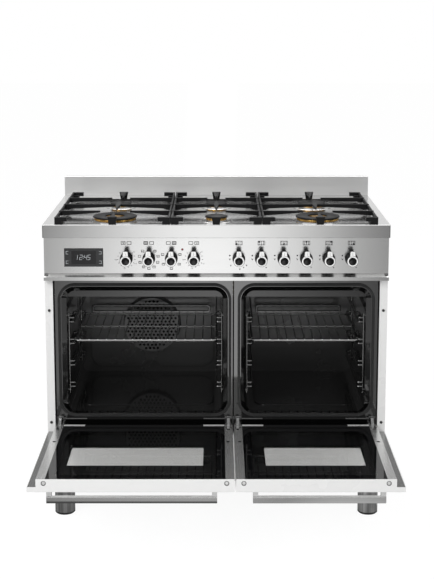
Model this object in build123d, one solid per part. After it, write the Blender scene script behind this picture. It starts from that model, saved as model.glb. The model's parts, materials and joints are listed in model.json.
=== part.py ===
"""Range cooker, one metre wide: two side-by-side ovens under a six-burner gas hob.

Millimetres. X runs to the right, Y to the back, Z up. The origin is the middle of the
bounding box on the floor, with both oven doors open.
"""
import math
import os

from build123d import *

# Cabinet
worktop_width = 998.0
worktop_depth = 600.0
worktop_height = 894.0
worktop_overhang = 49.0
worktop_side_overhang = 1.0
apron_height = 38.0
apron_corner = 3.0
apron_edge = 1.2
body_back = 511.0
leg_height = 115.0
sheet = 1.2
side_lead = 21.0
side_return = 23.0
fit_gap = 0.2
running_gap = 0.05

# Control panel and the ledge under it
panel_lead = 27.0
panel_height = 107.0
panel_sheet = 1.5
panel_gap = 0.5
ledge_lead = 42.0
ledge_drop = 8.5
ledge_lip = 10.5
ledge_notch = 12.0

# Oven doors
door_gap = 3.0
door_split = 50.0
door_thickness = 35.0
door_standoff = 4.0
skin_depth = 14.0
skin_sheet = 1.5
hinge_lead = 21.0
hinge_height = 275.0
door_foot = 3.0
stile_width = 24.0
stile_wall = 1.5
cap_thickness = 4.0
cap_screw_radius = 5.2
cap_screw_depth = 1.6
cap_screw_inset = 20.5
glass_thickness = 4.0
window_height = 150.0
window_drop = 178.0
window_margin = 85.0
pane_overlap = 15.0
handle_margin = 46.0
handle_drop = 45.0
handle_gap = 28.0
handle_bar_depth = 18.0
handle_bar_height = 14.0
handle_post = 14.0

# Hinges
hinge_inset = 10.5
arm_width = 8.0
arm_slack = 0.5
cheek = 4.5
pin_radius = 4.0
knuckle_radius = 7.0
arm_low = 14.0
arm_high = 36.0
seat_gap = 0.3
claw_height = 33.0
claw_half = 10.0
claw_radius = 2.5

# Ovens
flange_gap = 0.5
divider_gap = 2.0
flange_bottom = 280.0
flange_top = 735.0
flange_sheet = 2.0
opening_margin = 20.5
opening_inner_margin = 14.0
opening_bottom = 320.0
opening_top = 703.0
opening_radius = 40.0
rim_depth = 14.0
rim_taper = 14.0
cavity_floor = 322.0
cavity_ceiling = 688.0
cavity_radius = 26.0
cavity_depth = 437.0
cavity_wall = 2.0
deflector_drop = 20.0
deflector_set = 22.0
panel_pad = 2.0
insulation = 25.0
seal_width = 8.0
seal_height = 3.5
seal_margin = 2.0
rail_height = 25.0
rail_width = 20.0

# Side racks and wire shelves
rack_wire = 2.25
rack_stand = 4.0
rack_reach = 20.0
rack_front = 35.0
rack_back = 385.0
rack_first = 397.0
rack_pitch = 66.0
rack_levels = 4
runner_gap = 12.6
shelf_level = 2
shelf_wire = 3.0
shelf_bar = 1.75
shelf_pitch = 26.0
shelf_front = 47.0
shelf_back = 378.0
guard_wire = 3.5
guard_rise = 28.0
guard_inset = 19.0

# Convection fan behind the left oven's back wall cover
fan_height = 484.0
cover_radius = 94.0
cover_face_radius = 89.0
cover_depth = 24.0
cover_sheet = 1.5
cover_hole = 3.9
cover_pitch = 12.8
fan_radius = 60.0
fan_blades = 8
fan_depth = 14.0
shaft_radius = 3.0
ring_radius = 70.0
element_wire = 3.5
tail_wire = 3.0
motor_radius = 32.0
motor_depth = 38.0
motor_stand = 28.0
grill_height = 672.0
lamp_radius = 22.0
lamp_height = 636.0

# Knobs: four for the ovens, six for the gas taps
knob_pitch = 65.0
knob_drop = 64.0
knob_radius = 16.0
knob_base_radius = 18.5
knob_depth = 40.0
knob_clear = 1.0
grip_reach = 31.0
grip_width = 12.5
disc_radius = 11.0
disc_proud = 0.6
bezel_radius = 20.5
bezel_sheet = 1.0
stem_radius = 4.0
stem_length = 26.0
panel_hole = 6.0
tap_lead = 20.0
display_inset = 115.0
display_drop = 60.5
display_width = 112.5
display_height = 54.0
lamp_x = -98.0
lamp_drop = 37.0
pilot_radius = 3.2

# Hob
border = 37.0
border_back = 110.0
recess_depth = 8.0
recess_radius = 22.0
worktop_sheet = 1.5
backguard_height = 62.0
backguard_depth = 20.0
row_front = 126.0
row_pitch = 252.0
burner_x = 299.0
flange_rise = 3.0
ring_rise = 8.0
cap_rise = 4.0
burner_sink = 36.0
wok_radius = 65.0
wok_inner = 36.0
wok_core = 21.0
rapid_radius = 44.5
semi_radius = 34.0
neck_inset = 9.0
probe_radius = 2.5
probe_stand = 7.0

# Pan supports
grate_front = 11.0
grate_length = 496.0
grate_rise = 21.0
grate_side_width = 331.0
grate_middle_width = 260.0
rail_bar = 5.5
finger_bar = 8.0
bar_height = 14.5
tip_height = 5.0
foot_width = 35.0
foot_depth = 14.0
block_width = 27.0
diamond_length = 160.0
diamond_width = 16.0
tie_set = 40.0
tie_bar = 8.0
tie_height = 5.0
tie_clear = 1.0
tie_inset = 16.0
lug_width = 28.0
lug_depth = 10.5
lug_drop = 3.0

# Feet
foot_radius = 30.0
foot_chamfer = 3.0
foot_bore = 22.0
foot_roof = 12.0
foot_inset = 41.0
foot_front = 31.0
foot_back = 470.0
stud_radius = 6.0
stud_length = 45.0
base_height = 25.0

# Gas rail
rail_pipe = 9.0
rail_set = 34.0
feed_pipe = 2.25
feed_drop = 43.5
feed_pitch = 5.5
feed_offset = 12.0
inlet_radius = 10.4
inlet_shoulder = 15.5
inlet_inset = 58.0

# Places that follow from the sizes above
apron_bottom = worktop_height - apron_height
panel_top = apron_bottom - panel_gap
panel_bottom = panel_top - panel_height
knob_height = panel_top - knob_drop
display_z = panel_top - display_drop
lamp_z = panel_top - lamp_drop
feed_level = panel_top - feed_drop
lip_top = panel_bottom - ledge_drop
ledge_bottom = lip_top - ledge_lip
door_top = ledge_bottom - door_gap
door_bottom = hinge_height + door_foot
door_reach = hinge_lead + door_top - hinge_height
worktop_behind = worktop_depth - worktop_overhang
front = (door_reach - worktop_behind) / 2
body_width = worktop_width - 2 * worktop_side_overhang
half_body = body_width / 2
display_x = display_inset - half_body
inlet_x = half_body - inlet_inset
inner_half = half_body - side_return
hinge_y = front - hinge_lead
cavity_back = front + cavity_depth
recess_floor = worktop_height - recess_depth
worktop_front = front - worktop_overhang
grate_top = worktop_height + grate_rise
outer_face = door_standoff + door_thickness


def ahead(distance):
    """Y of a plane this far in front of the oven fronts."""
    return front - distance


def back(distance):
    """Y of a plane this far behind the oven fronts."""
    return front + distance


def block(x0, x1, y0, y1, z0, z1):
    """Box between two corners."""
    size = Box(x1 - x0, y1 - y0, z1 - z0)
    return Pos((x0 + x1) / 2, (y0 + y1) / 2, (z0 + z1) / 2) * size


def upright(x, y, z0, z1, radius):
    """Vertical cylinder."""
    return Pos(x, y, (z0 + z1) / 2) * Cylinder(radius, z1 - z0)


def along_y(x, z, y0, y1, radius):
    """Cylinder that runs front to back."""
    return Pos(x, (y0 + y1) / 2, z) * Rot(90, 0, 0) * Cylinder(radius, y1 - y0)


def along_x(y, z, x0, x1, radius):
    """Cylinder that runs left to right."""
    return Pos((x0 + x1) / 2, y, z) * Rot(0, 90, 0) * Cylinder(radius, x1 - x0)


def front_face(x0, x1, z0, z1, radius, y):
    """Rounded rectangle in an upright plane at this Y."""
    middle = ((x0 + x1) / 2, y, (z0 + z1) / 2)
    plane = Plane(origin=middle, x_dir=(1, 0, 0), z_dir=(0, -1, 0))
    return plane * RectangleRounded(x1 - x0, z1 - z0, radius)


def front_prism(x0, x1, z0, z1, radius, y0, y1):
    """Rounded rectangle carried from one Y to another."""
    return extrude(front_face(x0, x1, z0, z1, radius, y0), y1 - y0, dir=(0, 1, 0))


def top_prism(x0, x1, y0, y1, z0, z1, radius):
    """Rounded rectangle carried upwards."""
    middle = ((x0 + x1) / 2, (y0 + y1) / 2, z0)
    return extrude(Plane(origin=middle) * RectangleRounded(x1 - x0, y1 - y0, radius), z1 - z0)


def side_profile(points, x0, x1):
    """Closed outline given as Y, Z pairs, carried along X."""
    plane = Plane(origin=(x0, 0, 0), x_dir=(0, 1, 0), z_dir=(1, 0, 0))
    return extrude(plane * make_face(Polyline(*points, close=True)), x1 - x0)


def front_profile(points, y0, y1):
    """Closed outline given as X, Z pairs, carried along Y."""
    plane = Plane(origin=(0, y1, 0), x_dir=(1, 0, 0), z_dir=(0, -1, 0))
    return extrude(plane * make_face(Polyline(*points, close=True)), y1 - y0)


def top_profile(points, z0, z1):
    """Closed outline given as X, Y pairs, carried upwards."""
    plane = Plane(origin=(0, 0, z0))
    return extrude(plane * make_face(Polyline(*points, close=True)), z1 - z0)


def bent_wire(points, radius, bend):
    """Round wire along a polyline with rounded corners."""
    path = FilletPolyline(*points, radius=bend)
    section = Plane(origin=path @ 0, z_dir=path % 0) * Circle(radius)
    return sweep(section, path=path)


def solids_of(*shapes):
    """All solids of these shapes in one list."""
    found = []
    for shape in shapes:
        found.extend(shape.solids())
    return found


def save(name, *shapes):
    """Write one node as a STEP file."""
    found = solids_of(*shapes)
    shape = found[0] if len(found) == 1 else Compound(children=found)
    export_step(shape, "parts/" + name + ".step")


os.makedirs("parts", exist_ok=True)


# Cabinet
def side_panel(sign):
    x_out = sign * half_body
    x_in = sign * inner_half
    y0 = ahead(side_lead)
    y1 = back(body_back) - sheet
    panel = block(min(x_out, x_in), max(x_out, x_in), y0, y1, leg_height, panel_top)
    x_skin = sign * (half_body - sheet)
    x_open = sign * (inner_half - 1)
    hollow = block(
        min(x_skin, x_open), max(x_skin, x_open), y0 + sheet, y1 - sheet,
        leg_height + sheet, panel_top - sheet,
    )
    return panel - hollow


save("side_panel_left", side_panel(-1))
save("side_panel_right", side_panel(1))

inlet_z = knob_height
cover_y0 = back(body_back) - sheet
cover_y1 = back(body_back)
cover_bottom = leg_height + 2
cover_top = panel_top - 2
rear_plate = block(-half_body + 4, half_body - 4, cover_y0, cover_y1, cover_bottom, cover_top)
vent_rows = 9
vent_length = 110.0
vent_height = 6.0
vent_step = 16.0
vent_first = 560.0
for column in (-250.0, 0.0, 250.0):
    for row in range(vent_rows):
        z = vent_first + row * vent_step
        rear_plate -= front_prism(
            column - vent_length / 2, column + vent_length / 2, z, z + vent_height,
            vent_height / 2 - 0.1, cover_y0 - 1, cover_y1 + 1,
        )
restraint_x = 200.0
restraint_z = 165.0
restraint_hole = 3.25
for sign in (-1, 1):
    rear_plate -= along_y(sign * restraint_x, restraint_z, cover_y0 - 1, cover_y1 + 1, restraint_hole)
rear_plate -= along_y(inlet_x, inlet_z, cover_y0 - 1, cover_y1 + 1, inlet_shoulder + fit_gap)
save("rear_cover", rear_plate)

foot_places = {
    "front_left": (-half_body + foot_inset, back(foot_front)),
    "front_right": (half_body - foot_inset, back(foot_front)),
    "rear_left": (-half_body + foot_inset, back(foot_back)),
    "rear_right": (half_body - foot_inset, back(foot_back)),
}
base_floor = leg_height + sheet
base_y0 = ahead(side_lead) + sheet + 4
base_y1 = cover_y0 - sheet
base = block(-inner_half, inner_half, base_y0, base_y1, leg_height, leg_height + base_height)
base -= block(
    -inner_half + sheet, inner_half - sheet, base_y0 + sheet, base_y1 - sheet,
    leg_height + 2 * sheet, leg_height + base_height + 1,
)
boss_radius = stud_radius + 7
boss_top = leg_height + 16.0
for x, y in foot_places.values():
    base += upright(x, y, leg_height, boss_top, boss_radius)
    base -= upright(x, y, leg_height - 1, boss_top + 1, stud_radius + running_gap)
save("base_pan", base)

lower_lead = side_lead - sheet - 0.6
lower_top = hinge_height - 13.0
lower_y = ahead(lower_lead)
lower_half = inner_half - 1
lower = block(-lower_half, lower_half, lower_y, lower_y + 18, leg_height + 0.5, lower_top)
lower -= block(
    -lower_half + sheet, lower_half - sheet, lower_y + sheet, lower_y + 19,
    leg_height + 0.5 + sheet, lower_top - sheet,
)
lower -= block(
    -lower_half - 1, lower_half + 1, base_y0 - fit_gap, lower_y + 19,
    leg_height - 1, leg_height + base_height + fit_gap,
)
save("lower_front_panel", lower)

insulation_bottom = cavity_floor - cavity_wall - insulation
rail_x = half_body - sheet
oven_rails = []
for y in (back(40), back(cavity_depth - 60)):
    rail = block(-rail_x, rail_x, y, y + rail_width, insulation_bottom - rail_height, insulation_bottom)
    rail -= block(
        -rail_x - 1, rail_x + 1, y + 2, y + rail_width + 1,
        insulation_bottom - rail_height + 2, insulation_bottom - 2,
    )
    oven_rails.append(rail)
save("oven_support_rails", *oven_rails)

# Worktop with a pressed recess for the burners
half_top = worktop_width / 2
worktop_back = back(worktop_behind)
recess = (-half_top + border, half_top - border, worktop_front + border, worktop_back - border_back)
top_shell = block(-half_top, half_top, worktop_front, worktop_back, apron_bottom, worktop_height)
top_shell = fillet(top_shell.edges().filter_by(Axis.Z).group_by(Axis.Y)[0], apron_corner)
top_shell = fillet(top_shell.edges().group_by(Axis.Z)[-1], 2.0)
top_shell = fillet(top_shell.edges().group_by(Axis.Z)[0], apron_edge)
recess_tool = top_prism(*recess, recess_floor, worktop_height + 1, recess_radius)
recess_tool = fillet(recess_tool.faces().sort_by(Axis.Z)[0].edges(), 3.0)
under = block(
    -half_top + worktop_sheet, half_top - worktop_sheet, worktop_front + worktop_sheet,
    worktop_back - worktop_sheet, apron_bottom - 1, worktop_height - worktop_sheet,
)
pressed = top_prism(
    recess[0] - worktop_sheet, recess[1] + worktop_sheet, recess[2] - worktop_sheet,
    recess[3] + worktop_sheet, recess_floor - worktop_sheet, worktop_height, recess_radius,
)
worktop = top_shell - recess_tool - (under - pressed)

burner_rows = (worktop_front + row_front, worktop_front + row_front + row_pitch)
burners = {
    "front_left": (-burner_x, burner_rows[0], wok_radius),
    "rear_left": (-burner_x, burner_rows[1], semi_radius),
    "front_middle": (0.0, burner_rows[0], semi_radius),
    "rear_middle": (0.0, burner_rows[1], semi_radius),
    "front_right": (burner_x, burner_rows[0], wok_radius),
    "rear_right": (burner_x, burner_rows[1], rapid_radius),
}
ring_bottom = recess_floor + flange_rise
ring_top = ring_bottom + ring_rise
cap_top = ring_top + cap_rise
sink_bottom = recess_floor - burner_sink
bodies = []
rings = []
caps = []
probes = []
for x, y, radius in burners.values():
    neck = min(radius - neck_inset, 42.0)
    body = upright(x, y, sink_bottom, recess_floor, neck)
    body += upright(x, y, recess_floor, ring_bottom, radius - 3)
    body -= upright(x, y, sink_bottom + 4, ring_bottom + 1, neck - 4)
    bodies.append(body)
    worktop -= upright(x, y, recess_floor - 5, worktop_height, neck + fit_gap)
    ring = upright(x, y, ring_bottom, ring_top, radius - 3)
    ring = chamfer(ring.faces().sort_by(Axis.Z)[-1].edges(), 1.5)
    if radius == wok_radius:
        ring -= upright(x, y, ring_bottom - 1, ring_top + 1, wok_inner)
        core = upright(x, y, ring_bottom, cap_top - 2, wok_core)
        core = fillet(core.faces().sort_by(Axis.Z)[-1].edges(), 2.0)
        bridge = block(x - wok_inner - 1, x + wok_inner + 1, y - 4, y + 4, ring_bottom, ring_bottom + 3)
        ring += core
        ring += bridge
        cap = upright(x, y, ring_top, cap_top, radius)
        cap = fillet(cap.faces().sort_by(Axis.Z)[-1].edges(), 2.0)
        cap -= upright(x, y, ring_top - 1, cap_top + 1, wok_inner)
    else:
        ring -= upright(x, y, ring_bottom - 1, ring_bottom + 4, neck - 4)
        cap = upright(x, y, ring_top, cap_top, radius)
        cap = fillet(cap.faces().sort_by(Axis.Z)[-1].edges(), 2.0)
    rings.append(ring)
    caps.append(cap)
    stand = (radius + probe_stand) * math.sqrt(0.5)
    for side in (-1, 1):
        px = x + side * stand
        py = y + stand
        probes.append(upright(px, py, recess_floor - 24, ring_top - 1, probe_radius))
        worktop -= upright(px, py, recess_floor - 5, worktop_height, probe_radius + fit_gap)
save("worktop", worktop)
save("burner_bodies", *bodies)
save("burner_rings", *rings)
save("burner_caps", *caps)
save("igniters_and_probes", *probes)

guard_y0 = worktop_back - backguard_depth
guard_top = worktop_height + backguard_height
backguard = block(-half_top, half_top, guard_y0, worktop_back, worktop_height, guard_top)
backguard = fillet(backguard.edges().filter_by(Axis.X).group_by(Axis.Z)[-1], 2.0)
backguard -= block(
    -half_top + sheet, half_top - sheet, guard_y0 + sheet, worktop_back - sheet,
    worktop_height - 1, guard_top - sheet,
)
save("backguard", backguard)

# Control panel
panel_y0 = ahead(panel_lead)
panel_y1 = panel_y0 + panel_sheet
panel = block(-half_body, half_body, panel_y0, panel_y1, panel_bottom, panel_top)
panel += block(-half_body, half_body, panel_y0, panel_y0 + 14, panel_top - panel_sheet, panel_top)
panel -= block(
    -half_body - 1, half_body + 1, ahead(side_lead), panel_y0 + 15, panel_bottom, panel_top + 1,
)
panel -= block(
    display_x - display_width / 2 - fit_gap, display_x + display_width / 2 + fit_gap, panel_y0 - 1,
    panel_y1 + 1, display_z - display_height / 2 - fit_gap, display_z + display_height / 2 + fit_gap,
)
oven_knobs = ["oven_left_heat", "oven_left_mode", "oven_right_mode", "oven_right_heat"]
gas_knobs = ["front_left", "rear_left", "front_middle", "rear_middle", "rear_right", "front_right"]
knob_x = {}
for place, name in enumerate(oven_knobs):
    knob_x[name] = (place - len(oven_knobs)) * knob_pitch
for place, name in enumerate(gas_knobs):
    knob_x[name] = (place + 1) * knob_pitch
for x in knob_x.values():
    panel -= along_y(x, knob_height, panel_y0 - 1, panel_y1 + 1, panel_hole)
panel -= along_y(lamp_x, lamp_z, panel_y0 - 1, panel_y1 + 1, pilot_radius + fit_gap)
save("control_panel", panel)

window = block(
    display_x - display_width / 2, display_x + display_width / 2, panel_y0 - 0.6, panel_y1,
    display_z - display_height / 2, display_z + display_height / 2,
)
housing_y1 = ahead(2)
housing = block(
    display_x - display_width / 2 - 4, display_x + display_width / 2 + 4, panel_y1, housing_y1,
    display_z - display_height / 2 - 3, display_z + display_height / 2 + 3,
)
save("display_module", window + housing)

pilot = along_y(lamp_x, lamp_z, panel_y0 - 1.5, panel_y1, pilot_radius)
pilot = fillet(pilot.faces().sort_by(Axis.Y)[0].edges(), 1.2)
pilot += along_y(lamp_x, lamp_z, panel_y1, panel_y1 + 8, pilot_radius + 2)
save("pilot_lamp", pilot)

lip_y = ahead(ledge_lead)
ledge_y1 = ahead(side_lead)
ledge = side_profile(
    [
        (lip_y, ledge_bottom), (lip_y, lip_top), (panel_y0, panel_bottom),
        (ledge_y1, panel_bottom), (ledge_y1, ledge_bottom),
    ],
    -half_body, half_body,
)
for sign in (-1, 1):
    edge = sign * half_body
    inner = sign * (half_body - ledge_notch)
    ledge -= block(min(edge, inner) - 0.01, max(edge, inner) + 0.01, lip_y + 3, panel_y0 - 0.5,
                   lip_top, panel_bottom + 1)
save("panel_ledge", ledge)

# Knobs, their stems and what the stems turn
bezel_y0 = panel_y0 - bezel_sheet
knob_y1 = bezel_y0 - knob_clear
knob_y0 = knob_y1 - knob_depth
tap_y0 = ahead(tap_lead)


def knob(x):
    plane = Plane(origin=(x, knob_y1, knob_height), x_dir=(1, 0, 0), z_dir=(0, -1, 0))
    body = loft([
        plane * Circle(knob_base_radius),
        plane.offset(knob_depth) * Circle(knob_radius),
    ])
    grip = block(
        x - grip_width / 2, x + grip_width / 2, knob_y0, knob_y1, knob_height,
        knob_height + grip_reach,
    )
    grip = fillet(grip.edges().filter_by(Axis.Y).group_by(Axis.Z)[-1], 2.0)
    body += grip
    body -= along_y(x, knob_height, knob_y0 - 1, knob_y0 + 2, disc_radius)
    disc = along_y(x, knob_height, knob_y0 - disc_proud, knob_y0 + 2, disc_radius)
    stem = along_y(x, knob_height, knob_y1, knob_y1 + stem_length, stem_radius)
    return body, disc, stem


bezels = []
for name, x in knob_x.items():
    save("knob_" + name, *knob(x))
    bezel = along_y(x, knob_height, bezel_y0, panel_y0, bezel_radius)
    bezels.append(bezel - along_y(x, knob_height, bezel_y0 - 1, panel_y0 + 1, panel_hole))
save("knob_bezels", *bezels)


def control_body(x, half_width, half_height, y1):
    body = block(x - half_width, x + half_width, tap_y0, y1, knob_height - half_height,
                 knob_height + half_height)
    body += along_y(x, knob_height, panel_y1, tap_y0, panel_hole + 3)
    return body - along_y(x, knob_height, panel_y1 - 1, knob_y1 + stem_length + 2, stem_radius + running_gap)


switches = [control_body(knob_x[name], 16.0, 18.0, back(18)) for name in oven_knobs]
save("oven_switches", *switches)

rail_y = back(rail_set)
rail_tool = along_x(rail_y, knob_height, -half_body, half_body, rail_pipe + fit_gap)
gas_parts = []
tap_half_height = 15.0
for place, name in enumerate(gas_knobs):
    x = knob_x[name]
    gas_parts.append(control_body(x, 13.0, tap_half_height, rail_y) - rail_tool)
    bx, by, radius = burners[name]
    shift = -feed_offset if by == burner_rows[0] else feed_offset
    level = feed_level + (place + 1) * feed_pitch
    outlet_y = back(8)
    gas_parts.append(bent_wire(
        [
            (x, outlet_y, knob_height + tap_half_height), (x, outlet_y, level),
            (bx + shift, outlet_y, level), (bx + shift, by, level), (bx + shift, by, sink_bottom),
        ],
        feed_pipe, 4.0,
    ))
inlet_y1 = worktop_back
pipe_start = knob_x[gas_knobs[0]] - 20
gas_rail = bent_wire(
    [(pipe_start, rail_y, inlet_z), (inlet_x, rail_y, inlet_z), (inlet_x, cover_y0 - 14, inlet_z)],
    rail_pipe, 22.0,
)
gas_rail += along_y(inlet_x, inlet_z, cover_y0 - 14, cover_y1 + 3, inlet_shoulder)
gas_rail += along_y(inlet_x, inlet_z, cover_y1 + 3, inlet_y1, inlet_radius)
gas_parts.append(gas_rail)
save("gas_rail", *gas_parts)

# Rear mains box with its cable entry
mains_inset = 168.0
mains_x = half_body - mains_inset
mains_z = 250.0
mains_half = 45.0
mains_depth = 34.0
mains_height = 110.0
entry_radius = 8.0
entry_length = 12.0
mains = block(mains_x - mains_half, mains_x + mains_half, cover_y1, cover_y1 + mains_depth,
              mains_z, mains_z + mains_height)
mains = fillet(mains.edges().filter_by(Axis.Z).group_by(Axis.Y)[-1], 4.0)
mains -= block(mains_x - mains_half + 2, mains_x + mains_half - 2, cover_y1 + 2,
               cover_y1 + mains_depth - 2, mains_z + 2, mains_z + mains_height - 2)
entry_y = cover_y1 + mains_depth / 2
mains += upright(mains_x, entry_y, mains_z - entry_length, mains_z, entry_radius + 4)
mains -= upright(mains_x, entry_y, mains_z - entry_length - 1, mains_z + 3, entry_radius)
save("mains_box", mains)

# Ovens
ovens = {
    "left": (-inner_half + flange_gap, door_split - divider_gap, opening_margin, opening_inner_margin),
    "right": (door_split + divider_gap, inner_half - flange_gap, opening_margin, opening_margin),
}


def opening(oven):
    x0, x1, margin0, margin1 = ovens[oven]
    return x0 + margin0, x1 - margin1


def inside(oven):
    x0, x1 = opening(oven)
    return x0 + rim_taper, x1 - rim_taper


def funnel(oven, grow, y_end):
    """The oven's inner shape from the front plane backwards, grown on every side."""
    ox0, ox1 = opening(oven)
    ix0, ix1 = inside(oven)
    mouth = front_face(ox0 - grow, ox1 + grow, opening_bottom - grow, opening_top + grow,
                       opening_radius + grow, front)
    throat = front_face(ix0 - grow, ix1 + grow, cavity_floor - grow, cavity_ceiling + grow,
                        cavity_radius + grow, back(rim_depth))
    return loft([mouth, throat]) + extrude(throat, y_end - back(rim_depth), dir=(0, 1, 0))


def grill_reach(oven):
    """Half the width of this oven's grill element."""
    ix0, ix1 = inside(oven)
    return (ix1 - ix0) / 2 - 70


def hinge_places(oven):
    """X of the two hinge arms of this oven's door."""
    x0, x1 = ovens[oven][0], ovens[oven][1]
    return x0 + hinge_inset + 1, x1 - hinge_inset - 2


pad_margin = 31.0
pad_bottom = cavity_floor + 18.0
pad_top = 600.0


def cavity(oven):
    x0, x1 = ovens[oven][0], ovens[oven][1]
    ix0, ix1 = inside(oven)
    shell = block(x0, x1, front, front + flange_sheet, flange_bottom, flange_top)
    shell += funnel(oven, cavity_wall, cavity_back + cavity_wall)
    shell -= funnel(oven, 0.0, cavity_back)
    middle = (ix0 + ix1) / 2
    floor_pad = top_prism(ix0 + pad_margin, ix1 - pad_margin, back(70), back(345), cavity_floor - 1,
                          cavity_floor + panel_pad, 34.0)
    shell += floor_pad
    if oven == "left":
        pad = front_prism(ix0 + pad_margin, ix1 - pad_margin, pad_bottom, pad_top, 38.0,
                          cavity_back - panel_pad, cavity_back + 1)
        pad -= along_y(middle, pad_bottom - 12, cavity_back - panel_pad - 1, cavity_back + 2, 30.0)
        shell += pad
        shell -= along_y(middle, fan_height, cavity_back - 5, cavity_back + 5, shaft_radius + 2)
        shell -= along_y(middle, fan_height - ring_radius, cavity_back - 5, cavity_back + 5, tail_wire + fit_gap)
    else:
        shell += along_y(middle, fan_height, cavity_back - panel_pad, cavity_back + 1, 61.0)
    deflector_y = back(deflector_set)
    deflector = front_prism(ix0 - 1, ix1 + 1, cavity_floor, cavity_ceiling + 1, cavity_radius + 1,
                            deflector_y, deflector_y + cavity_wall)
    deflector -= block(ix0 - 2, ix1 + 2, deflector_y - 1, deflector_y + cavity_wall + 1,
                       cavity_floor - 1, cavity_ceiling - deflector_drop)
    shell += deflector
    for side in (-1, 1):
        shell -= along_y(middle + side * grill_reach(oven), grill_height, cavity_back - 1,
                         cavity_back + cavity_wall + 1, element_wire + fit_gap)
    for x in hinge_places(oven):
        slot_half = arm_width / 2 + seat_gap
        shell -= block(x - slot_half, x + slot_half, front - 1, front + flange_sheet + 1,
                       hinge_height + arm_low - seat_gap, hinge_height + arm_high + seat_gap)
    return shell


save("oven_left_cavity", cavity("left"))
save("oven_right_cavity", cavity("right"))

fan_x = sum(inside("left")) / 2
blankets = []
seals = []
racks = []
elements = []
lamps = []
for oven in ovens:
    ix0, ix1 = inside(oven)
    wall = cavity_wall
    blanket_y0 = back(rim_depth) + 6
    blanket_y1 = cavity_back + wall + insulation
    blanket = block(ix0 - wall - insulation, ix1 + wall + insulation, blanket_y0, blanket_y1,
                    insulation_bottom, cavity_ceiling + wall + insulation)
    blanket -= front_prism(ix0 - wall, ix1 + wall, cavity_floor - wall, cavity_ceiling + wall,
                           cavity_radius + wall, blanket_y0 - 1, cavity_back + wall)
    middle = (ix0 + ix1) / 2
    reach = grill_reach(oven)
    inner_reach = reach / 3
    element_back = cavity_back + wall + insulation + 8
    element = bent_wire(
        [
            (middle - reach, element_back, grill_height), (middle - reach, back(60), grill_height),
            (middle - inner_reach, back(60), grill_height), (middle - inner_reach, back(330), grill_height),
            (middle + inner_reach, back(330), grill_height), (middle + inner_reach, back(60), grill_height),
            (middle + reach, back(60), grill_height), (middle + reach, element_back, grill_height),
        ],
        element_wire, 18.0,
    )
    elements.append(element)
    for side in (-1, 1):
        blanket -= along_y(middle + side * reach, grill_height, cavity_back, blanket_y1 + 1,
                           element_wire + fit_gap)
    if oven == "left":
        blanket -= along_y(middle, fan_height, cavity_back, blanket_y1 + 1, motor_stand + 6)
        blanket -= along_y(middle, fan_height - ring_radius, cavity_back, blanket_y1 + 1, tail_wire + fit_gap)
    blankets.append(blanket)

    ox0, ox1 = opening(oven)
    near = seal_margin
    far = seal_margin + seal_width
    seal = front_prism(ox0 - far, ox1 + far, opening_bottom - far, opening_top + far,
                       opening_radius + far, front - seal_height, front)
    seal -= front_prism(ox0 - near, ox1 + near, opening_bottom - near, opening_top + near,
                        opening_radius + near, front - seal_height - 1, front + 1)
    seals.append(seal)

    for wall_x, side in ((ix0, 1), (ix1, -1)):
        post_x = wall_x + side * rack_stand
        run_x = wall_x + side * rack_reach
        rack = upright(post_x, back(rack_front), rack_first - 25, rack_first + rack_pitch * 3 + 22, rack_wire)
        rack += upright(post_x, back(rack_back), rack_first - 25, rack_first + rack_pitch * 3 + 22, rack_wire)
        for level in range(rack_levels):
            for shift in (-runner_gap / 2, runner_gap / 2):
                z = rack_first + level * rack_pitch + shift
                rack += bent_wire(
                    [
                        (post_x, back(rack_front), z), (run_x, back(rack_front), z),
                        (run_x, back(rack_back), z), (post_x, back(rack_back), z),
                    ],
                    rack_wire, 6.0,
                )
        for y in (back(rack_front), back(rack_back)):
            for z in (rack_first - 15, rack_first + rack_pitch * 3 + 14):
                rack += along_x(y, z, min(wall_x, post_x), max(wall_x, post_x), rack_wire)
        racks.append(rack)

    lamp_side = middle + (ix1 - ix0) / 2 - 55
    lamp = along_y(lamp_side, lamp_height, cavity_back - 12, cavity_back, lamp_radius)
    lamps.append(fillet(lamp.faces().sort_by(Axis.Y)[0].edges(), 8.0))
save("oven_insulation", *blankets)
save("door_seals", *seals)
save("side_racks", *racks)
save("oven_lamps", *lamps)


def shelf(oven):
    ix0, ix1 = inside(oven)
    x0 = ix0 + rack_reach
    x1 = ix1 - rack_reach
    level = rack_first + shelf_level * rack_pitch
    z = level - runner_gap / 2 + rack_wire + shelf_wire + 0.05
    y0 = back(shelf_front)
    y1 = back(shelf_back)
    inset = 14.0
    grid = bent_wire(
        [(x0, y1, z), (x0, y0, z), (x1, y0, z), (x1, y1, z), (x0 + inset, y1, z)], shelf_wire, 10.0,
    )
    grid += along_x(y1, z, x0, x0 + inset, shelf_wire)
    grid += along_x((y0 + y1) / 2, z, x0, x1, shelf_wire - 0.5)
    count = int((x1 - x0 - 2 * inset) / shelf_pitch)
    start = (x0 + x1) / 2 - count * shelf_pitch / 2
    for place in range(count + 1):
        grid += along_y(start + place * shelf_pitch, z + 2.4, y0 - 1, y1 + 1, shelf_bar)
    gx0 = x0 + guard_inset
    gx1 = x1 - guard_inset
    low = z + shelf_wire + guard_wire + shelf_bar + 0.05
    high = z + guard_rise
    guard = front_prism(gx0, gx1, low - guard_wire, high + guard_wire, 9.0, y1 - guard_wire, y1 + guard_wire)
    guard -= front_prism(gx0 + 2 * guard_wire, gx1 - 2 * guard_wire, low + guard_wire, high - guard_wire, 3.0,
                         y1 - guard_wire - 1, y1 + guard_wire + 1)
    rim = guard.edges().filter_by(GeomType.LINE).filter_by(Axis.X)
    guard = fillet(rim, 1.8)
    return grid, guard


save("shelf_left", *shelf("left"))
save("shelf_right", *shelf("right"))

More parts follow.
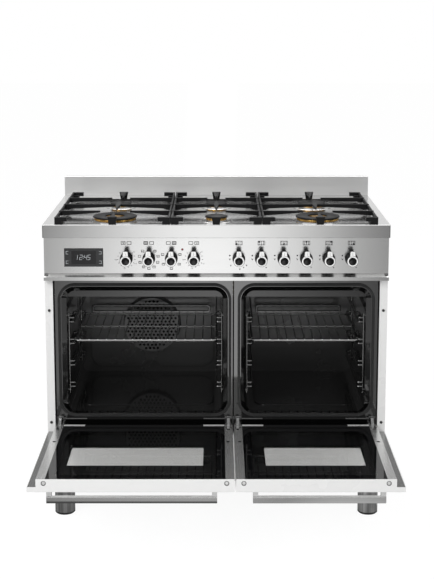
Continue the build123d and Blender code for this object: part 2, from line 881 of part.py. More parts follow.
# Convection fan
cover_y = cavity_back - panel_pad
cover_plane = Plane(origin=(fan_x, cover_y, fan_height), x_dir=(1, 0, 0), z_dir=(0, -1, 0))
cover = loft([
    cover_plane * Circle(cover_radius), cover_plane.offset(cover_depth) * Circle(cover_face_radius),
])
cover -= loft([
    cover_plane.offset(-0.01) * Circle(cover_radius - cover_sheet),
    cover_plane.offset(cover_depth - cover_sheet) * Circle(cover_face_radius - cover_sheet),
])
row_step = cover_pitch * math.sqrt(0.75)
hole_reach = cover_face_radius - cover_hole - 4
rows = int(hole_reach / row_step)
holes = []
for row in range(-rows, rows + 1):
    offset = cover_pitch / 2 if row % 2 else 0.0
    for column in range(-8, 9):
        hx = column * cover_pitch + offset
        hz = row * row_step
        if math.hypot(hx, hz) < hole_reach:
            holes.append(along_y(fan_x + hx, fan_height + hz, cover_y - cover_depth - 1,
                                 cover_y - cover_depth + cover_sheet + 1, cover_hole))
cover -= holes
save("fan_cover", cover)

fan_y1 = cavity_back - 5
fan_y0 = fan_y1 - fan_depth
blade_plate = along_y(fan_x, fan_height, fan_y1 - 1.5, fan_y1, fan_radius)
fan = blade_plate + along_y(fan_x, fan_height, fan_y0, fan_y1, 9.0)
for blade in range(fan_blades):
    vane = block(7, fan_radius - 2, fan_y0, fan_y1, -0.75, 0.75)
    turn = Pos(fan_x, 0, fan_height) * Rot(0, blade * 360 / fan_blades, 0)
    fan += turn * vane
motor_y0 = cavity_back + cavity_wall + insulation
fan += along_y(fan_x, fan_height, fan_y0, motor_y0 + motor_depth - 8, shaft_radius)
save("fan_blade", fan)

motor = along_y(fan_x, fan_height, motor_y0, motor_y0 + motor_depth, motor_radius)
motor = fillet(motor.faces().sort_by(Axis.Y)[-1].edges(), 5.0)
motor -= along_y(fan_x, fan_height, motor_y0 - 1, motor_y0 + motor_depth - 6, shaft_radius + running_gap)
for leg in range(3):
    angle = math.radians(90 + leg * 120)
    motor += along_y(fan_x + motor_stand * math.cos(angle), fan_height + motor_stand * math.sin(angle),
                     cavity_back + cavity_wall, motor_y0, 3.5)
save("fan_motor", motor)

ring_y = cavity_back - panel_pad - element_wire - 6
ring_plane = Plane(origin=(fan_x, ring_y, fan_height), z_dir=(0, 1, 0))
ring_heater = Solid.make_torus(ring_radius, element_wire, ring_plane)
ring_tail = along_y(fan_x, fan_height - ring_radius, ring_y, cavity_back + cavity_wall + insulation + 8,
                    tail_wire)
save("ring_element", ring_heater + ring_tail)
save("grill_elements", *elements)

# Hinge arms: fixed to the oven fronts, each carries a pin that the door turns on
arms = []
for oven in ovens:
    for x in hinge_places(oven):
        arm = side_profile(
            [
                (hinge_y - 5, hinge_height - 5), (hinge_y + 5, hinge_height - 6),
                (front - 3, hinge_height + arm_low), (front + 12, hinge_height + arm_low),
                (front + 12, hinge_height + arm_high), (front - 3, hinge_height + arm_high),
                (front - 9, hinge_height + 26), (hinge_y - 5, hinge_height + 5),
            ],
            x - arm_width / 2, x + arm_width / 2,
        )
        pin_half = arm_width / 2 + arm_slack + cheek
        arm += along_x(hinge_y, hinge_height, x - pin_half, x + pin_half, pin_radius)
        arm += along_x(front - 4, hinge_height + claw_height, x - claw_half, x + claw_half, claw_radius)
        arms.append(arm)
save("hinge_arms", *arms)

bumper_x = (half_body + inner_half) / 2
bumpers = []
for sign in (-1, 1):
    for z in (door_bottom + 20, door_top - 90):
        bumper = along_y(sign * bumper_x, z, ahead(side_lead) - 3, ahead(side_lead), 4.0)
        bumpers.append(fillet(bumper.faces().sort_by(Axis.Y)[0].edges(), 1.5))
save("door_bumpers", *bumpers)

# Doors, laid out closed and then turned open about the hinge
hinge_axis = Axis((0, hinge_y, hinge_height), (1, 0, 0))


def opened(shape):
    return shape.rotate(hinge_axis, 90)


doors = {
    "left": (-half_body + 1, door_split - door_gap / 2, -1),
    "right": (door_split + door_gap / 2, half_body - 1, 1),
}


def door(side):
    x0, x1, outer = doors[side]
    box0 = x0 + side_return + 1 if outer < 0 else x0 + 0.5
    box1 = x1 - side_return - 1 if outer > 0 else x1 - 0.5
    y_in = ahead(door_standoff)
    y_skin = ahead(outer_face - skin_depth)
    y_out = ahead(outer_face)
    middle = (x0 + x1) / 2
    window_half = (x1 - x0) / 2 - window_margin
    window_top = door_top - window_drop
    window_bottom = window_top - window_height

    skin = block(x0, x1, y_out, y_skin, door_bottom, door_top)
    skin = fillet(skin.edges().group_by(Axis.Y)[0], 2.0)
    skin -= block(x0 + skin_sheet, x1 - skin_sheet, y_out + skin_sheet, y_skin + 1,
                  door_bottom + skin_sheet, door_top - skin_sheet)
    skin -= front_prism(middle - window_half, middle + window_half, window_bottom, window_top, 6.0,
                        y_out - 1, y_out + skin_sheet + 1)
    knuckle_half = arm_width / 2 + arm_slack + cheek
    for x in hinge_places(side):
        skin -= block(x - knuckle_half - 0.5, x + knuckle_half + 0.5, y_skin - knuckle_radius, y_skin + 1,
                      door_bottom - 1, door_bottom + skin_sheet + knuckle_radius)
    cap = block(box0, box1, y_skin, y_in, door_top - cap_thickness, door_top)
    cap = fillet(cap.edges().filter_by(Axis.X).group_by(Axis.Y)[-1], 0.8)
    screw_y = (y_skin + y_in) / 2
    for x in (box0 + cap_screw_inset, box1 - cap_screw_inset):
        cap -= upright(x, screw_y, door_top - cap_screw_depth, door_top + 1, cap_screw_radius)

    backing_y = y_skin
    rail_low = door_bottom
    inner_top = door_top - cap_thickness
    frame = block(x0 + skin_sheet + 0.2, x1 - skin_sheet - 0.2, backing_y - 1.2, backing_y,
                  door_bottom + skin_sheet + 0.2, door_top - skin_sheet - 0.2)
    frame -= block(box0 + stile_width, box1 - stile_width, backing_y - 2, backing_y + 1,
                   rail_low + 40, inner_top - 24)
    for s0, s1 in ((box0, box0 + stile_width), (box1 - stile_width, box1)):
        stile = block(s0, s1, backing_y, y_in, rail_low, inner_top)
        stile -= block(s0 + stile_wall, s1 - stile_wall, backing_y - 2, y_in - stile_wall,
                       rail_low - 1, inner_top - stile_wall)
        frame += stile
    glass_y1 = y_in - 0.5
    glass_y0 = glass_y1 - glass_thickness
    g0 = box0 + stile_width
    g1 = box1 - stile_width
    for r0, r1 in ((rail_low, rail_low + 20), (inner_top - 16, inner_top)):
        rail = block(g0, g1, backing_y, glass_y0, r0, r1)
        rail -= block(g0 - 1, g1 + 1, backing_y - 1, glass_y0 - stile_wall, r0 + stile_wall, r1 - stile_wall)
        frame += rail
    for c0, c1 in ((g0, g0 + 66), (g1 - 66, g1)):
        frame += block(c0, c1, glass_y0 - 0.5, y_in, rail_low, rail_low + 2)
    notch_half = arm_width / 2 + arm_slack
    for x in hinge_places(side):
        frame -= block(x - notch_half, x + notch_half, backing_y - 5, y_in + 1, rail_low - 1, rail_low + 48)
        frame -= block(x - claw_half - 1, x + claw_half + 1, y_in - 4, y_in + 1,
                       hinge_height + claw_height - 10, hinge_height + claw_height + claw_radius + 2)
        for s in (-1, 1):
            c0 = x + s * notch_half
            c1 = x + s * (notch_half + cheek)
            low_x = min(c0, c1)
            high_x = max(c0, c1)
            leaf = block(low_x, high_x, hinge_y - 4, hinge_y + 7, hinge_height, rail_low + 48)
            leaf += along_x(hinge_y, hinge_height, low_x, high_x, knuckle_radius)
            frame += leaf
            frame -= along_x(hinge_y, hinge_height, low_x - 1, high_x + 1, pin_radius + running_gap)
    inner_pane = block(g0 + fit_gap, g1 - fit_gap, glass_y0, glass_y1, rail_low + 2 + fit_gap,
                       inner_top - fit_gap)
    pane_y0 = y_out + skin_sheet
    outer_pane = block(middle - window_half - pane_overlap, middle + window_half + pane_overlap,
                       pane_y0, pane_y0 + glass_thickness, window_bottom - pane_overlap,
                       window_top + pane_overlap)

    handle_z = door_top - handle_drop
    bar_y1 = y_out - handle_gap
    bar_y0 = bar_y1 - handle_bar_depth
    h0 = x0 + handle_margin
    h1 = x1 - handle_margin
    bar = block(h0, h1, bar_y0, bar_y1, handle_z - handle_bar_height / 2, handle_z + handle_bar_height / 2)
    bar = fillet(bar.edges().filter_by(Axis.X), 2.0)
    posts = []
    for p0 in (h0, h1 - handle_post):
        posts.append(block(p0, p0 + handle_post, bar_y1, y_out, handle_z - handle_bar_height / 2 + 1,
                           handle_z + handle_bar_height / 2 - 1))
    save("door_" + side + "_skin", opened(skin), opened(cap))
    save("door_" + side + "_frame", opened(frame))
    save("door_" + side + "_glass", opened(inner_pane), opened(outer_pane))
    save("door_" + side + "_handle", opened(bar), *[opened(post) for post in posts])


door("left")
door("right")


# Pan supports
def grate(x_middle, width, front_radius, rear_radius):
    x0 = x_middle - width / 2
    x1 = x_middle + width / 2
    y0 = worktop_front + grate_front
    y1 = y0 + grate_length
    bar_low = grate_top - bar_height
    shape = None
    for edge, turn in ((x0, 1), (x1, -1)):
        rail_in = edge + turn * rail_bar
        rail = block(min(edge, rail_in), max(edge, rail_in), y0, y1, bar_low, grate_top - 1)
        rail = fillet(rail.edges().filter_by(Axis.Y).group_by(Axis.Z)[-1], rail_bar * 0.36)
        shape = rail if shape is None else shape + rail
        for foot_y0, foot_y1 in ((y0, y0 + foot_depth), (y1 - foot_depth, y1)):
            inner = edge + turn * foot_width
            post = edge + turn * foot_width * 0.62
            shape += block(min(edge, inner), max(edge, inner), foot_y0, foot_y1, bar_low + 2, grate_top - 1)
            shape += block(min(edge, post), max(edge, post), foot_y0, foot_y1, worktop_height, bar_low + 3)
    middle_y = (burner_rows[0] + burner_rows[1]) / 2
    half_bar = finger_bar / 2
    for edge, turn in ((x0, 1), (x1, -1)):
        shape += front_profile(
            [
                (edge, bar_low - lug_drop), (edge, grate_top - 1), (edge + turn * lug_width, grate_top - 1),
                (edge + turn * lug_width, bar_low + 2), (edge + turn * lug_width * 0.6, bar_low - lug_drop),
            ],
            middle_y - lug_depth / 2, middle_y + lug_depth / 2,
        )
    for row_y, radius in ((burner_rows[0], front_radius), (burner_rows[1], rear_radius)):
        stop = 44.0 if radius == wok_radius else 28.0
        for edge, turn in ((x0, 1), (x1, -1)):
            tip = x_middle - turn * stop
            shape += front_profile(
                [(edge, bar_low), (edge, grate_top), (tip, grate_top), (tip, grate_top - tip_height)],
                row_y - half_bar, row_y + half_bar,
            )
    shape += front_profile(
        [
            (x0, bar_low), (x0, grate_top), (x1, grate_top), (x1, bar_low),
            (x_middle + 10, grate_top - 8), (x_middle - 10, grate_top - 8),
        ],
        middle_y - half_bar, middle_y + half_bar,
    )
    reach = diamond_length / 2
    half_diamond = diamond_width / 2
    shape += top_profile(
        [
            (x_middle, middle_y - reach), (x_middle + half_diamond, middle_y),
            (x_middle, middle_y + reach), (x_middle - half_diamond, middle_y),
        ],
        grate_top - 8, grate_top,
    )
    half_block = block_width / 2
    tie_low = recess_floor + tie_clear
    tie_top = tie_low + tie_height
    rear_tie = recess[3] - 12.0
    for end, turn, row_y, tie_y in (
        (y0, 1, burner_rows[0], worktop_front + tie_set + half_bar),
        (y1, -1, burner_rows[1], rear_tie),
    ):
        inner = end + turn * foot_depth
        tip = row_y - turn * 42.0
        shape += front_profile(
            [
                (x_middle - half_block, grate_top), (x_middle + half_block, grate_top),
                (x_middle + half_block - 3.5, worktop_height), (x_middle - half_block + 3.5, worktop_height),
            ],
            min(end, inner), max(end, inner),
        )
        shape += top_profile(
            [
                (x_middle - half_block + 2, end), (x_middle + half_block - 2, end),
                (x_middle + half_bar, end + turn * 45), (x_middle + 1.5, tip),
                (x_middle - 1.5, tip), (x_middle - half_bar, end + turn * 45),
            ],
            grate_top - 8, grate_top,
        )
        tie0 = tie_y - tie_bar / 2
        tie1 = tie_y + tie_bar / 2
        shape += block(x0 + tie_inset, x1 - tie_inset, tie0, tie1, tie_low, tie_top)
        shape += block(x_middle - half_bar, x_middle + half_bar, tie0, tie1, tie_low, grate_top - 4)
        for edge, turn_x in ((x0, 1), (x1, -1)):
            near = edge + turn_x * tie_inset
            post = edge + turn_x * (tie_inset + rail_bar)
            shape += block(min(near, post), max(near, post), tie0, tie1, tie_low, bar_low + 6)
            shape += block(min(edge, post), max(edge, post), tie0, tie1, bar_low, bar_low + 6)
    return shape


side_x = burner_x
save("pan_support_left", grate(-side_x, grate_side_width, wok_radius, semi_radius))
save("pan_support_middle", grate(0.0, grate_middle_width, semi_radius, semi_radius))
save("pan_support_right", grate(side_x, grate_side_width, wok_radius, rapid_radius))

# Feet: sleeve, sole and the stud that screws into the base
for name, (x, y) in foot_places.items():
    sleeve = upright(x, y, 0, leg_height, foot_radius)
    sleeve = chamfer(sleeve.faces().sort_by(Axis.Z)[0].edges(), foot_chamfer)
    sleeve -= upright(x, y, -1, leg_height - foot_roof, foot_bore)
    stud = upright(x, y, leg_height - 1, leg_height + stud_length, stud_radius)
    save("foot_" + name, sleeve + stud)
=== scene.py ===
"""Range cooker with two ovens and a six-burner hob: its finishes, small fittings and studio stage.

Metres, in the frame of the CAD model. Every piece rides on a body of that model.
"""

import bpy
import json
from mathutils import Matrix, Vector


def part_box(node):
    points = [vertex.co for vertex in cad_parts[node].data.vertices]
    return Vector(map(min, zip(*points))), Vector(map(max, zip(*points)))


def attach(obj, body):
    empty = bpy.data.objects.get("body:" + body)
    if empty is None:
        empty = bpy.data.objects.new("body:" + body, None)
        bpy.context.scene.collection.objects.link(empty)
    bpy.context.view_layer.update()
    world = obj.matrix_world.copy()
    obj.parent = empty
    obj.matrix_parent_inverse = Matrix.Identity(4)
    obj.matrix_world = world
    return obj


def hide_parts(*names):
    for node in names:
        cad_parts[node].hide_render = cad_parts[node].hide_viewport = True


bl_info = {
    "name": "Range cooker",
    "version": (1, 0, 0),
    "blender": (4, 5, 0),
    "location": "View3D > Sidebar > Cooker",
    "description": "Finishes, fittings and stage for a two-oven range cooker",
    "category": "Object",
}

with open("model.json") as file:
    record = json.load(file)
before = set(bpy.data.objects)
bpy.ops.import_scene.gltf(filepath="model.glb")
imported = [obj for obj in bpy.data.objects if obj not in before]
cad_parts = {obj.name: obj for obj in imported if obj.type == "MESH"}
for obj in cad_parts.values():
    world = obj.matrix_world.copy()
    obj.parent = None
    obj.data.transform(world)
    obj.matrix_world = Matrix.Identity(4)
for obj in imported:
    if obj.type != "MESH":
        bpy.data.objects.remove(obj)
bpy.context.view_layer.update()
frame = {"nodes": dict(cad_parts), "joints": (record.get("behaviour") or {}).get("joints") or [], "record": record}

import json
import math

import bmesh
import bpy
from bpy.props import FloatProperty, FloatVectorProperty, IntProperty, PointerProperty
from bpy.types import Operator, Panel, PropertyGroup
from mathutils import Matrix, Vector

MM = 0.001
OPEN = (None, None)
MASK_EDGE = 0.1 * MM
NODES = frame["nodes"]
SLOT_OF = {part["node"]: part["material_slot"] for part in frame["record"]["subparts"]}
KNOB_NAMES = [name for name in NODES if name.startswith("knob_") and name != "knob_bezels"]
KNOB_AXIS = {joint["child"]: joint["pos_m"] for joint in frame["joints"] if joint["child"] in KNOB_NAMES}
PANEL_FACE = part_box("control_panel")[0].y
BEZEL_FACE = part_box("knob_bezels")[0].y
RECESS_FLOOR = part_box("burner_rings")[0].z - 3 * MM
BURNERS = {
    "front_left": (-0.299, 0.03775, "wok"),
    "rear_left": (-0.299, 0.28975, "semi"),
    "front_middle": (0.0, 0.03775, "semi"),
    "rear_middle": (0.0, 0.28975, "semi"),
    "front_right": (0.299, 0.03775, "wok"),
    "rear_right": (0.299, 0.28975, "rapid"),
}
DOORS = {
    "left": {
        "window": (-0.412, -0.0365), "pane": (-0.4488, 0.0238),
        "stile_screws": (-0.460, 0.033), "end_screws": (-0.4525, 0.0275),
    },
    "right": {
        "window": (0.1365, 0.412), "pane": (0.0762, 0.4488),
        "stile_screws": (0.066, 0.460), "end_screws": (0.0725, 0.4525),
    },
}
WINDOW_Y = (-0.33375, -0.18375)
CLIP_LENGTH = 62 * MM
CLIP_Y = (-0.0752, -0.0655)
CLIP_Z = (0.29152, 0.29245)
STILE_SCREW_Y = -0.215
END_SCREW_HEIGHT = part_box("door_left_frame")[1].z - 10.5 * MM
DOOR_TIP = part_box("door_left_skin")[0].y
REAR_SCREWS = [(x, z) for x in (-0.462, -0.23, 0.0, 0.23, 0.462) for z in (0.135, 0.84)]
REAR_SCREWS += [(x, z) for z in (0.31, 0.485, 0.66) for x in (-0.462, 0.462)]

# Where a finish or a painted shade changes on the steel pieces and the panel.
FLANGE_X = 0.4735
FLANGE_TOP = 0.272
LEDGE_SLOPE = (0.7402, 0.7485)
HANDLE_PAINTED_UNDERSIDE = (0.2160, 0.2180)
HANDLE_POST = 0.2305
RIGHT_DOOR = 0.05
HOB_EDGE = -0.0868
FOOT_SOLE_SHADOW = (0.005, 0.008)
SCREEN_X = (-0.4185, -0.3475)
SCREEN_Z = (0.7755, 0.8145)
SIGN_HEIGHT = 0.8375

# The oven linings, their pressed pads and trays, and the fan's cover; the paler heights are painted light.
OVEN_MOUTH = -0.0255
BACK_START = 0.385
BACK_WALL = 0.39775
BACK_PAINTED_LIGHT = (0.40, 0.66)
BACK_PAD = ((-0.409, 0.0, 0.340), (-0.011, 0.0, 0.600))
PAD_NOTCH = (-0.210, 0.328)
FLOOR_TOP = 0.326
FLOOR_Y = (-0.02, BACK_START)
TRAY_X = ((-0.409, -0.011), (0.1175, 0.409))
TRAY_Y = (0.0308, 0.3058)
FAN_AXIS = (-0.210, 0.484)
FAN_OPENING = 0.093
COVER_HOLES = 0.0865
COVER_PAINTED_LIGHT = (0.40, 0.57)

# The wires of the oven shelves, and where their painted shade and painted highlight go.
GUARD_Y = (0.3345, 0.3435)
GUARD_Z = (0.5378, 0.5660)
BARS_Y = (0.0118, 0.3352)
BARS_Z = (0.5342, 0.5378)
RAIL_PLACES = (0.0080, 0.1735, 0.3390)
RAIL_HALF = 0.0034
RAIL_Z = (0.5298, 0.5372)


def length(name, description, millimetres):
    """A size that a user may change."""
    return FloatProperty(name=name, description=description, default=millimetres * MM, unit="LENGTH")


def tint(name, description, colour):
    """A colour that a user may change."""
    return FloatVectorProperty(
        name=name, description=description, size=3, default=colour, subtype="COLOR", min=0.0, max=1.0)


class StageSettings(PropertyGroup):
    """Camera, lamps and floor."""

    camera_place: FloatVectorProperty(
        name="Camera place", description="Where the camera stands", size=3,
        default=(0.002, -3.7858, 1.5380), subtype="TRANSLATION", unit="LENGTH")
    camera_pitch: FloatProperty(
        name="Camera pitch", description="How far the camera looks down",
        default=math.radians(9.157), subtype="ANGLE")
    lens: FloatProperty(name="Lens", description="Focal length in millimetres", default=81.592)
    lens_shift: FloatProperty(
        name="Lens shift", description="Upright shift of the picture", default=-0.14)
    key_power: FloatProperty(
        name="Key lamp", description="Power of the large lamp at upper left", default=104.0, unit="POWER")
    fill_power: FloatProperty(
        name="Fill lamp", description="Power of the lamp at the right", default=17.0, unit="POWER")
    top_power: FloatProperty(
        name="Top lamp", description="Power of the lamp over the hob", default=28.0, unit="POWER")
    floor_colour: tint("Floor", "Colour of the studio floor", (0.9, 0.9, 0.9))
    sky_strength: FloatProperty(
        name="Room light", description="Strength of the even light of the room", default=0.55)
    floor_white: FloatProperty(
        name="Floor white", description="Brightness of the open floor", default=1.06)
    strip_centre: FloatProperty(
        name="Strip centre", description="What steel mirrors of the floor straight ahead", default=1.1)
    strip_side: FloatProperty(
        name="Strip side", description="What steel mirrors of the floor at the sides", default=0.12)
    floor_near: FloatProperty(
        name="Floor near", description="What gloss mirrors of the floor under the cooker", default=0.15)
    room_front: FloatProperty(
        name="Room front", description="What gloss mirrors of the room in front", default=0.18)


class FinishSettings(PropertyGroup):
    """Colours of the main finishes."""

    steel: tint("Steel", "Brushed stainless steel", (0.86, 0.86, 0.855))
    white: tint("White enamel", "Side panels and door skins", (0.83, 0.83, 0.825))
    black: tint("Black enamel", "Oven linings", (0.011, 0.011, 0.011))
    iron: tint("Cast iron", "Pan supports and burner caps", (0.009, 0.009, 0.0095))
    brass: tint("Brass", "Flame rings", (0.54, 0.34, 0.10))
    ink: tint("Panel print", "Dark print on the control panel", (0.012, 0.012, 0.013))


class KnobSettings(PropertyGroup):
    """Sizes of the control knobs."""

    base_radius: length("Base radius", "Radius at the panel", 18.5)
    front_radius: length("Front radius", "Radius at the front ring", 16.0)
    depth: length("Depth", "From the bezel gap to the front ring", 40.0)
    disc_radius: length("Disc radius", "Radius of the black disc", 11.0)
    grip_width: length("Grip width", "Width of the pointer bar", 12.6)
    grip_reach: length("Grip reach", "Top of the pointer bar above the axis", 28.5)
    segments: IntProperty(name="Segments", description="Sides of the turned body", default=64)


class BurnerSettings(PropertyGroup):
    """Sizes of the burners."""

    semi: length("Semi", "Cap radius of the medium burners", 34.0)
    rapid: length("Rapid", "Cap radius of the large burner", 44.5)
    wok: length("Wok", "Cap radius of the wok burners", 65.0)
    wok_inner: length("Wok inner", "Hole in the wok burner's cap", 28.0)
    wok_core: length("Wok core", "Radius of the wok burner's core", 18.0)


class PrintSettings(PropertyGroup):
    """The signs printed on the control panel."""

    line: length("Line", "Width of a printed line", 1.5)
    thickness: length("Ink", "Thickness of the print", 0.06)
    icon_width: length("Oven sign", "Width of an oven sign", 13.0)
    icon_height: length("Oven sign height", "Height of an oven sign", 9.5)


def begin():
    """Leaves edit mode and deselects everything, so an operator acts on the new piece alone."""
    if bpy.context.mode != "OBJECT":
        bpy.ops.object.mode_set(mode="OBJECT")
    bpy.ops.object.select_all(action="DESELECT")


def edit(piece):
    """Opens one piece in edit mode with all of it selected."""
    begin()
    bpy.context.view_layer.objects.active = piece
    piece.select_set(True)
    bpy.ops.object.mode_set(mode="EDIT")
    bpy.ops.mesh.select_mode(type="VERT")
    bpy.ops.mesh.select_all(action="SELECT")


def pick(piece, test):
    """In edit mode, selects the faces whose middle and normal pass the test, and nothing else."""
    bpy.ops.mesh.select_mode(type="FACE")
    bpy.ops.mesh.select_all(action="DESELECT")
    shape = bmesh.from_edit_mesh(piece.data)
    count = 0
    for face in shape.faces:
        if test(face.calc_center_median(), face.normal):
            face.select_set(True)
            count += 1
    bmesh.update_edit_mesh(piece.data)
    return count


def pick_edges(piece, test):
    """In edit mode, selects the edges whose two ends pass the test, and nothing else."""
    bpy.ops.mesh.select_mode(type="EDGE")
    bpy.ops.mesh.select_all(action="DESELECT")
    shape = bmesh.from_edit_mesh(piece.data)
    for edge in shape.edges:
        if test(edge.verts[0].co, edge.verts[1].co):
            edge.select_set(True)
    bmesh.update_edit_mesh(piece.data)


def tidy(piece, angle=35.0):
    """Merges doubles, turns the faces outwards and smooths all but the sharp edges."""
    edit(piece)
    bpy.ops.mesh.remove_doubles(threshold=0.001 * MM)
    bpy.ops.mesh.select_all(action="SELECT")
    bpy.ops.mesh.normals_make_consistent(inside=False)
    bpy.ops.object.mode_set(mode="OBJECT")
    bpy.ops.object.shade_smooth_by_angle(angle=math.radians(angle))


def settle(piece):
    """Puts a piece's place, turn and size into its mesh."""
    begin()
    bpy.context.view_layer.objects.active = piece
    piece.select_set(True)
    bpy.ops.object.transform_apply(location=True, rotation=True, scale=True)


def joined(name, pieces):
    """Joins pieces into one."""
    begin()
    for piece in pieces:
        piece.select_set(True)
    bpy.context.view_layer.objects.active = pieces[0]
    if len(pieces) > 1:
        bpy.ops.object.join()
    whole = bpy.context.view_layer.objects.active
    whole.name = name
    whole.data.name = name
    return whole


def copied(piece, name, shift):
    """A copy of a piece with its own mesh, moved by a shift."""
    twin = piece.copy()
    twin.data = piece.data.copy()
    twin.name = name
    twin.data.name = name
    twin.data.transform(Matrix.Translation(Vector(shift)))
    bpy.context.collection.objects.link(twin)
    return twin


def turned(profile, segments, place=(0.0, 0.0, 0.0), hollow=False):
    """A turned piece: a circle carried along (radius, height) steps, in millimetres, up an axis."""
    begin()
    steps = [(radius * MM, height * MM) for radius, height in profile]
    if hollow:
        steps.append(steps[0])
    radius, height = steps.pop(0)
    x, y, z = place
    bpy.ops.mesh.primitive_circle_add(
        vertices=segments, radius=radius, fill_type="NOTHING" if hollow else "NGON",
        location=(x, y, z + height))
    piece = bpy.context.active_object
    settle(piece)
    edit(piece)
    for next_radius, next_height in steps:
        bpy.ops.mesh.extrude_region()
        ratio = next_radius / radius
        if abs(ratio - 1.0) > 1e-6:
            bpy.ops.transform.resize(value=(ratio, ratio, 1.0), center_override=(x, y, z + height))
        if abs(next_height - height) > 1e-9:
            bpy.ops.transform.translate(value=(0.0, 0.0, next_height - height))
        radius, height = next_radius, next_height
    tidy(piece)
    return piece


def facing_front(piece):
    """Turns an upright piece so that its top faces the front."""
    piece.data.transform(Matrix.Rotation(math.radians(90.0), 4, "X"))
    return piece


def bar(low, high):
    """A block between two corners, open in edit mode."""
    begin()
    middle = [(a + b) / 2 for a, b in zip(low, high)]
    size = [b - a for a, b in zip(low, high)]
    bpy.ops.mesh.primitive_cube_add(size=1.0, location=middle, scale=size)
    piece = bpy.context.active_object
    settle(piece)
    edit(piece)
    return piece


def rounded(width, segments=2):
    """Rounds all the edges of the piece that is open in edit mode."""
    bpy.ops.mesh.select_all(action="SELECT")
    bpy.ops.mesh.bevel(offset=width, segments=segments, affect="EDGES")


def cut_across(across, along):
    """Cuts the open piece by planes at places across x and along y."""
    planes = [((x, 0, 0), (1, 0, 0)) for x in across] + [((0, y, 0), (0, 1, 0)) for y in along]
    for point, normal in planes:
        bpy.ops.mesh.select_all(action="SELECT")
        bpy.ops.mesh.bisect(plane_co=point, plane_no=normal)


def coat(piece, *finishes):
    """Gives a piece its finishes in order."""
    piece.data.materials.clear()
    for name in finishes:
        piece.data.materials.append(FINISHES[name])


def coat_faces(piece, index, test):
    """Gives the faces that pass the test the finish at this index."""
    for face in piece.data.polygons:
        if test(face.center, face.normal):
            face.material_index = index


def fit(piece, name, body, replaced=()):
    """Names a piece, rides it on its body and says what it stands for."""
    piece.name = name
    piece.data.name = name
    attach(piece, body)
    if replaced:
        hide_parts(*replaced)


FINISHES = {}
GROUPS = {}


class Tree:
    """A node tree, and short ways to add nodes to it."""

    def __init__(self, tree):
        self.nodes = tree.nodes
        self.links = tree.links

    def give(self, socket, value):
        """Links a socket to another one, or sets it to a plain value; None leaves it alone."""
        if isinstance(value, bpy.types.NodeSocket):
            self.links.new(value, socket)
        elif value is not None:
            socket.default_value = value

    def add(self, kind, *values, named=None, **settings):
        """A new shader node with its settings, its first inputs in order and its named inputs."""
        node = self.nodes.new("ShaderNode" + kind)
        for title, setting in settings.items():
            setattr(node, title, setting)
        for socket, value in zip(node.inputs, values):
            self.give(socket, value)
        for title, value in (named or {}).items():
            self.give(node.inputs[title], value)
        return node

    def reckon(self, operation, first, second=None):
        """One sum on values; gives back its result."""
        return self.add("Math", first, second, operation=operation).outputs[0]

    def spread(self, source, low, high, start=0.3, end=0.7, way="LINEAR"):
        """Carries a value from the range start to end over to the range low to high."""
        return self.add("MapRange", source, start, end, low, high, interpolation_type=way).outputs["Result"]


def node_group(name, inputs, outputs):
    """A new node group with named sockets; gives back its tree, what it is given and what it makes."""
    group = bpy.data.node_groups.new(name, "ShaderNodeTree")
    for title, default in inputs.items():
        kind = "NodeSocketFloat" if isinstance(default, float) else "NodeSocketVector"
        group.interface.new_socket(title, in_out="INPUT", socket_type=kind).default_value = default
    for title in outputs:
        group.interface.new_socket(title, in_out="OUTPUT", socket_type="NodeSocketFloat")
    GROUPS[name] = group
    given = group.nodes.new("NodeGroupInput").outputs
    return Tree(group), given, group.nodes.new("NodeGroupOutput").inputs


def make_brushing():
    """Fine parallel lines, long in one direction, with slow uneven bands."""
    tree, given, made = node_group(
        "brushed_lines", {"Vector": (0, 0, 0), "Stretch": (1, 1, 1)}, ("Lines", "Bands"))
    stretched = tree.add("VectorMath", given["Vector"], given["Stretch"], operation="MULTIPLY").outputs[0]
    lines = tree.add("TexNoise", named={"Vector": stretched, "Scale": 1.0, "Detail": 3.0, "Roughness": 0.6})
    bands = tree.add("TexNoise", named={"Vector": given["Vector"], "Scale": 3.5, "Detail": 2.0})
    tree.give(made["Lines"], lines.outputs["Fac"])
    tree.give(made["Bands"], bands.outputs["Fac"])


def make_grain():
    """Small bumps over slower mottling, for castings, enamel, plastic and rubber."""
    tree, given, made = node_group(
        "fine_grain", {"Vector": (0, 0, 0), "Grain Scale": 600.0, "Mottle Scale": 12.0}, ("Grain", "Mottle"))
    for title, detail in (("Grain", 3.0), ("Mottle", 4.0)):
        noise = tree.add("TexNoise", named={
            "Vector": given["Vector"], "Scale": given[title + " Scale"], "Detail": detail})
        tree.give(made[title], noise.outputs["Fac"])


def make_speckle():
    """Sparse small specks, as in vitreous enamel."""
    tree, given, made = node_group(
        "enamel_specks", {"Vector": (0, 0, 0), "Speck Scale": 420.0}, ("Specks",))
    cells = tree.add("TexVoronoi", named={
        "Vector": given["Vector"], "Scale": given["Speck Scale"], "Randomness": 1.0})
    tree.give(made["Specks"], tree.spread(cells.outputs["Distance"], 0.0, 1.0, 0.26, 0.14))


